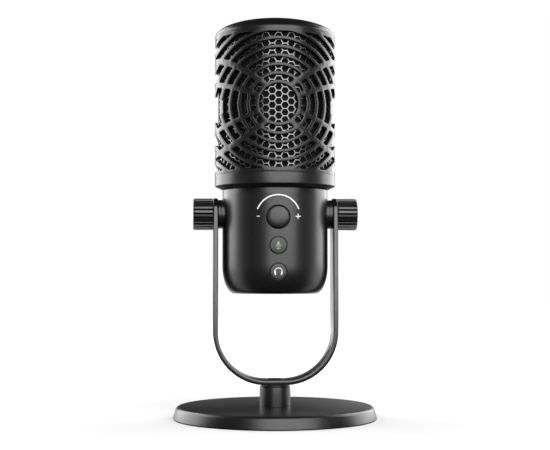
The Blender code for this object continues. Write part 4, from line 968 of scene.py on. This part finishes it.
# Black nickel: a thin dark plating that keeps a metal's sheen, with a rolling grain of 0.8 mm.
mesh_steel = grained(
    "black_nickel_steel", ("#666668", "#727274"), (0.26, 0.34), grain=0.8, relief=0.002, metallic=1.0
)
mesh_sizes = {
    "Columns": MESH_COLUMNS,
    "Rows": MESH_ROWS,
    "Spacing": MESH_SPACING * MM,
    "Sheet width": (MESH_COLUMNS - 1) * MESH_SPACING * MM,
    "Sheet height": MESH_HEIGHT * MM,
    "Middle height": (MESH_FIRST + MESH_HEIGHT / 2) * MM,
    "Cell radius": MESH_PITCH / sqrt(3) * MM,
    "Hole share": 1 - MESH_WEB / MESH_PITCH,
    "Stagger share": MESH_PITCH / 2 / MESH_SPACING,
    "Bend radius": MESH_BEND * MM,
    "Thickness": MESH_THICK * MM,
    "Seam": MESH_SEAM * MM,
    "Finish": mesh_steel,
}
tree, given = node_tree("punched_sleeve", mesh_sizes)
# One cell is a hexagon with a smaller hexagon punched out of it.
hexagon = {"Vertices": 6, "Radius": given["Cell radius"]}
cell = add(tree, "GeometryNodeMeshCircle", hexagon, fill_type="NGON")
rim = add(tree, "GeometryNodeExtrudeMesh", {"Mesh": cell, "Offset Scale": 0.0})
shrunk = add(
    tree,
    "GeometryNodeScaleElements",
    {"Geometry": rim.outputs["Mesh"], "Selection": rim.outputs["Top"], "Scale": given["Hole share"]},
)
hole = {"Geometry": shrunk, "Selection": rim.outputs["Top"]}
web = add(tree, "GeometryNodeDeleteGeometry", hole, domain="FACE")
# The cells lie flat in columns, and every other column is raised by half a cell.
extent = (given["Sheet width"], given["Sheet height"], given["Columns"], given["Rows"])
sheet = add(tree, "GeometryNodeMeshGrid", extent)
flat = add(tree, "ShaderNodeSeparateXYZ", (add(tree, "GeometryNodeInputPosition"),))
half_width = (given["Sheet width"], 0.5, flat.outputs["X"])
from_edge = add(tree, "ShaderNodeMath", half_width, operation="MULTIPLY_ADD")
odd = add(tree, "ShaderNodeMath", (from_edge, given["Spacing"]), operation="PINGPONG")
stagger = (odd, given["Stagger share"], given["Middle height"])
raised = add(tree, "ShaderNodeMath", stagger, operation="MULTIPLY_ADD")
aside = add(tree, "ShaderNodeMath", (given["Spacing"], -0.5), operation="MULTIPLY")
lift = add(tree, "ShaderNodeCombineXYZ", {"X": aside, "Y": raised})
staggered = add(tree, "GeometryNodeSetPosition", {"Geometry": sheet, "Offset": lift})
punched = add(tree, "GeometryNodeInstanceOnPoints", {"Points": staggered, "Instance": web})
real = add(tree, "GeometryNodeRealizeInstances", (punched,))
# The sheet is rolled about the head from its front, joined at its seam and given its thickness.
spot = add(tree, "ShaderNodeSeparateXYZ", (add(tree, "GeometryNodeInputPosition"),))
turn = add(tree, "ShaderNodeMath", (spot.outputs["X"], given["Bend radius"]), operation="DIVIDE")
ahead = add(tree, "ShaderNodeMath", (given["Bend radius"], -1.0), operation="MULTIPLY")
before = add(tree, "ShaderNodeCombineXYZ", {"Y": ahead, "Z": spot.outputs["Y"]})
rolled = add(tree, "ShaderNodeVectorRotate", {"Vector": before, "Angle": turn}, rotation_type="Z_AXIS")
sleeve = add(tree, "GeometryNodeSetPosition", {"Geometry": real, "Position": rolled})
seamed = add(tree, "GeometryNodeMergeByDistance", {"Geometry": sleeve, "Distance": given["Seam"]})
place = add(tree, "GeometryNodeInputPosition")
level = add(tree, "ShaderNodeVectorMath", (place, (1, 1, 0)), operation="MULTIPLY")
outwards = add(tree, "ShaderNodeVectorMath", (level,), operation="NORMALIZE")
drawn = {"Mesh": seamed, "Offset": outwards, "Offset Scale": given["Thickness"], "Individual": False}
thick = add(tree, "GeometryNodeExtrudeMesh", drawn)
back = add(tree, "GeometryNodeFlipFaces", {"Mesh": seamed})
both = add(tree, "GeometryNodeJoinGeometry")
tree.links.new(thick.outputs["Mesh"], both.inputs[0])
tree.links.new(back.outputs[0], both.inputs[0])
closed = add(tree, "GeometryNodeMergeByDistance", {"Geometry": both, "Distance": given["Seam"]})
close_tree(tree, closed, given["Finish"])
punched_mesh = finished("punched_mesh", bmesh.new(), mesh_steel)
grown(punched_mesh, tree, mesh_sizes)
fit(punched_mesh, "microphone", "mesh_steel", "hex_mesh")

# Grille cage: one ABS moulding round the head, a web of rings about the middle of the front
# crossed by eight curved spokes. The slots run straight through it from front to back. One
# quarter of its wall is drawn flat, given its slots and its thickness, and mirrored round.
CAGE_RADIUS = 32.5
CAGE_WALL = 1.4
CAGE_SPAN = (130.44, 204.9)
CAGE_CREASE = 60
RABBET_DEPTH = 0.3
WINDOW = (132.2, 203.4)
WEB_MIDDLE = 166.05
HUB_RADIUS = 10.2
RING_PITCH = 4.6
RING_BAR = 1.75
SIDE_SPOKE_TURN = radians(21.5)
SIDE_SPOKE_WIDTH = 2.5
LONG_SPOKE_WIDTH = 3.0
LONG_SPOKE_CURVE = (3.6, 0.93, -0.0078)
ARC_STEP = 0.04
ARC_LEAST = 4
SLOT_STEP = 0.7
SLOT_LEAST = 6
SLOT_ROUND = 0.28
SLOT_SMOOTHING = 0.5
LEAST_SLOT = 1.5
RIM_ROUND = 0.04
SHOULDER = 0.9 * CAGE_RADIUS
QUARTER_TURN = CAGE_RADIUS * pi / 2
WELD = 0.004
HALVINGS = 40


def long_spoke(radius):
    """The angle at which the long curved spoke crosses a circle about the middle of the web."""
    start, slope, sag = LONG_SPOKE_CURVE
    low, high = 0.0, radius
    for _ in range(HALVINGS):
        x = (low + high) / 2
        z = start + slope * x + sag * x * x
        low, high = (x, high) if hypot(x, z) < radius else (low, x)
    return atan2(z, x)


def sector(radius, number, sign):
    """The start and end angles of one gap between spokes on a circle, right half only."""
    side_half = asin(SIDE_SPOKE_WIDTH / 2 / radius)
    long_half = asin(LONG_SPOKE_WIDTH / 2 / radius)
    edges = (
        (-SIDE_SPOKE_TURN + side_half, SIDE_SPOKE_TURN - side_half),
        (SIDE_SPOKE_TURN + side_half, long_spoke(radius) - long_half),
        (long_spoke(radius) + long_half, pi / 2),
    )
    start, end = edges[number]
    return (start, end) if sign > 0 else (-end, -start)


def arc_run(radius, start, end):
    """Close points along an arc of the web, which seen from the front is a true circle."""
    turns = np.linspace(start, end, max(int(radius * abs(end - start) / ARC_STEP), ARC_LEAST))
    return np.stack((radius * np.cos(turns), radius * np.sin(turns)), axis=1)


def clipped(points, axis, limit, sign):
    """What is left of an outline on one side of a line."""
    kept = []
    for before, after in zip(np.roll(points, 1, axis=0), points):
        inside = [sign * (limit - p[axis]) >= 0 for p in (before, after)]
        if inside[0] != inside[1]:
            share = (limit - before[axis]) / (after[axis] - before[axis])
            crossing = before + (after - before) * share
            crossing[axis] = limit
            kept.append(crossing)
        if inside[1]:
            kept.append(after)
    return np.array(kept)


def unrolled(outline):
    """A slot's outline, clipped to the window and laid out along the wall, anticlockwise."""
    outline[np.abs(outline[:, 0]) < TOUCHING, 0] = 0
    low, high = (edge - WEB_MIDDLE for edge in WINDOW)
    for axis, limit, sign in ((0, CAGE_RADIUS, 1), (1, high, 1), (1, low, -1)):
        outline = clipped(outline, axis, limit, sign) if len(outline) else outline
    if len(outline) < 3:
        return None
    along = CAGE_RADIUS * np.arcsin(np.clip(outline[:, 0] / CAGE_RADIUS, 0, 1))
    flat = np.stack((along, outline[:, 1]), axis=1)
    beyond = np.roll(flat, -1, axis=0)
    area = np.sum(flat[:, 0] * beyond[:, 1] - beyond[:, 0] * flat[:, 1]) / 2
    if abs(area) < LEAST_SLOT:
        return None
    return flat if area > 0 else flat[::-1]


def stepped(flat):
    """Even points along a slot's edge, and the seam of the quarter that the slot runs across, if any."""
    path = np.concatenate((flat, flat[:1]))
    crossed = None
    for seam in (0.0, QUARTER_TURN):
        on_seam = np.abs(flat[:, 0] - seam) < TOUCHING
        if on_seam.sum() >= 2:
            leaves = np.nonzero(on_seam & ~np.roll(on_seam, -1))[0][0]
            path = np.roll(flat, -leaves, axis=0)
            returns = np.nonzero(np.abs(path[1:, 0] - seam) < TOUCHING)[0][0] + 1
            path = path[: returns + 1]
            crossed = seam
            break
    gone = np.concatenate(([0], np.cumsum(np.hypot(*np.diff(path, axis=0).T))))
    stops = np.linspace(0, gone[-1], max(int(round(gone[-1] / SLOT_STEP)), SLOT_LEAST) + 1)
    chain = np.stack([np.interp(stops, gone, path[:, i]) for i in (0, 1)], axis=1)
    return chain if crossed is not None else chain[:-1], crossed


def beside_points(chain, seam):
    """The points before and after each point of a slot's edge, mirrored where it meets a seam."""
    before, after = np.roll(chain, 1, axis=0), np.roll(chain, -1, axis=0)
    if seam is not None:
        before[0] = (2 * seam - chain[1, 0], chain[1, 1])
        after[-1] = (2 * seam - chain[-2, 0], chain[-2, 1])
    return before, after


def on_cage(along, rise, depth):
    """A point of the unrolled wall put on the cage, where every slot is cut from front to back."""
    x = CAGE_RADIUS * sin(along / CAGE_RADIUS)
    if x > SHOULDER:
        x = SHOULDER + (x - SHOULDER) * (CAGE_RADIUS - depth - SHOULDER) / (CAGE_RADIUS - SHOULDER)
    y = -sqrt(max((CAGE_RADIUS - depth) ** 2 - x * x, 0))
    return Vector((x, y, rise + WEB_MIDDLE)) * MM


# The open middle and the gaps between rings and spokes, in the right half of the front.
outlines = [arc_run(HUB_RADIUS, -pi / 2, pi / 2)]
inner = HUB_RADIUS + RING_BAR
while inner < hypot(CAGE_RADIUS, WINDOW[1] - WEB_MIDDLE):
    outer = inner + RING_PITCH - RING_BAR
    for number, sign in ((0, 1), (1, 1), (1, -1), (2, 1), (2, -1)):
        near = arc_run(inner, *sector(inner, number, sign))
        far = arc_run(outer, *sector(outer, number, sign))
        outlines.append(np.concatenate((near, far[::-1])))
    inner += RING_PITCH

# Each station is one point of an edge, carried round the edge's rounding and through the wall.
ROUND_MIDDLE = 1 - sqrt(0.5)
rounding = ((1.0, 0.0), (ROUND_MIDDLE, ROUND_MIDDLE), (0.0, 1.0))
stations = []
slot_loops = []
for outline in outlines:
    flat = unrolled(outline)
    if flat is None:
        continue
    chain, seam = stepped(flat)
    before, after = beside_points(chain, seam)
    chain = chain + SLOT_SMOOTHING * ((before + after) / 2 - chain)
    before, after = beside_points(chain, seam)
    along = after - before
    along /= np.linalg.norm(along, axis=1)[:, None]
    away = np.stack((along[:, 1], -along[:, 0]), axis=1)
    levels = [(chain + away * SLOT_ROUND * grow, SLOT_ROUND * depth) for grow, depth in rounding]
    levels.append((chain, CAGE_WALL))
    if seam is not None:
        for points, _ in levels:
            points[(0, -1), 0] = seam
    first = len(stations)
    slot_loops.append((list(range(first, first + len(chain))), seam))
    for i in range(len(chain)):
        stations.append([(points[i], depth) for points, depth in levels])
rim_loops = []
for edge, inward, deepest in ((CAGE_SPAN[0], 1, RABBET_DEPTH), (CAGE_SPAN[1], -1, CAGE_WALL)):
    first = len(stations)
    rise = edge - WEB_MIDDLE
    for u in np.linspace(0, QUARTER_TURN, int(QUARTER_TURN / SLOT_STEP) + 1):
        tucked = [((u, rise + inward * RIM_ROUND * grow), RIM_ROUND * depth) for grow, depth in rounding]
        stations.append([*tucked, ((u, rise), deepest)])
    rim_loops.append((list(range(first, len(stations))), 0.0))
skin = geometry.delaunay_2d_cdt(
    [Vector(station[0][0]) for station in stations], [], [loop for loop, _ in slot_loops], 0, TOUCHING
)
shape = bmesh.new()
for mirror in ((1, 1), (-1, 1), (1, -1), (-1, -1)):
    verts = []
    for station in stations:
        spots = [on_cage(u, rise, depth) for (u, rise), depth in station]
        verts.append([shape.verts.new((p.x * mirror[0], p.y * mirror[1], p.z)) for p in spots])
    for face, slots in zip(skin[2], skin[5]):
        if not slots:
            shape.faces.new([verts[i][0] for i in face])
            shape.faces.new([verts[i][-1] for i in reversed(face)])
    for loop, seam in (*slot_loops, *rim_loops):
        following = loop[1:] if seam is not None else loop[1:] + loop[:1]
        for a, b in zip(loop, following):
            for i in range(len(rounding)):
                shape.faces.new((verts[a][i], verts[b][i], verts[b][i + 1], verts[a][i + 1]))
bmesh.ops.remove_doubles(shape, verts=shape.verts, dist=WELD * MM)
bmesh.ops.recalc_face_normals(shape, faces=shape.faces)
grille_web = finished("grille_web", shape, black_abs, CAGE_CREASE)
fit(grille_web, "microphone", "black_plastic", "grille_cage")

# Top cap: a shallow moulded ABS dome, hollow below, whose spigot plugs into the cage.
# A fine joint shows where it meets the cage's upper rim.
DOME_FOOT = 205.45
DOME_RISE = 9.3
DOME_RADIUS = 32.5
DOME_STEPS = 40
HOLLOW_RISE = 7.3
HOLLOW_RADIUS = 29.0
HOLLOW_STEPS = 12
CAP_UNDER = (
    (DOME_RADIUS, 204.96),
    (DOME_RADIUS - 0.03, 204.93),
    (30.8, 204.93),
    (30.8, 204.2),
    (HOLLOW_RADIUS, 204.2),
)
outline = arc((0, DOME_FOOT), (DOME_RADIUS, DOME_RISE), 90, 0, DOME_STEPS)
outline += CAP_UNDER
outline += arc((0, DOME_FOOT), (HOLLOW_RADIUS, HOLLOW_RISE), 0, 90, HOLLOW_STEPS)
fit(finished("dome_cap", turning(outline, HEAD_SIDES), black_abs), "microphone", "black_plastic", "top_cap")
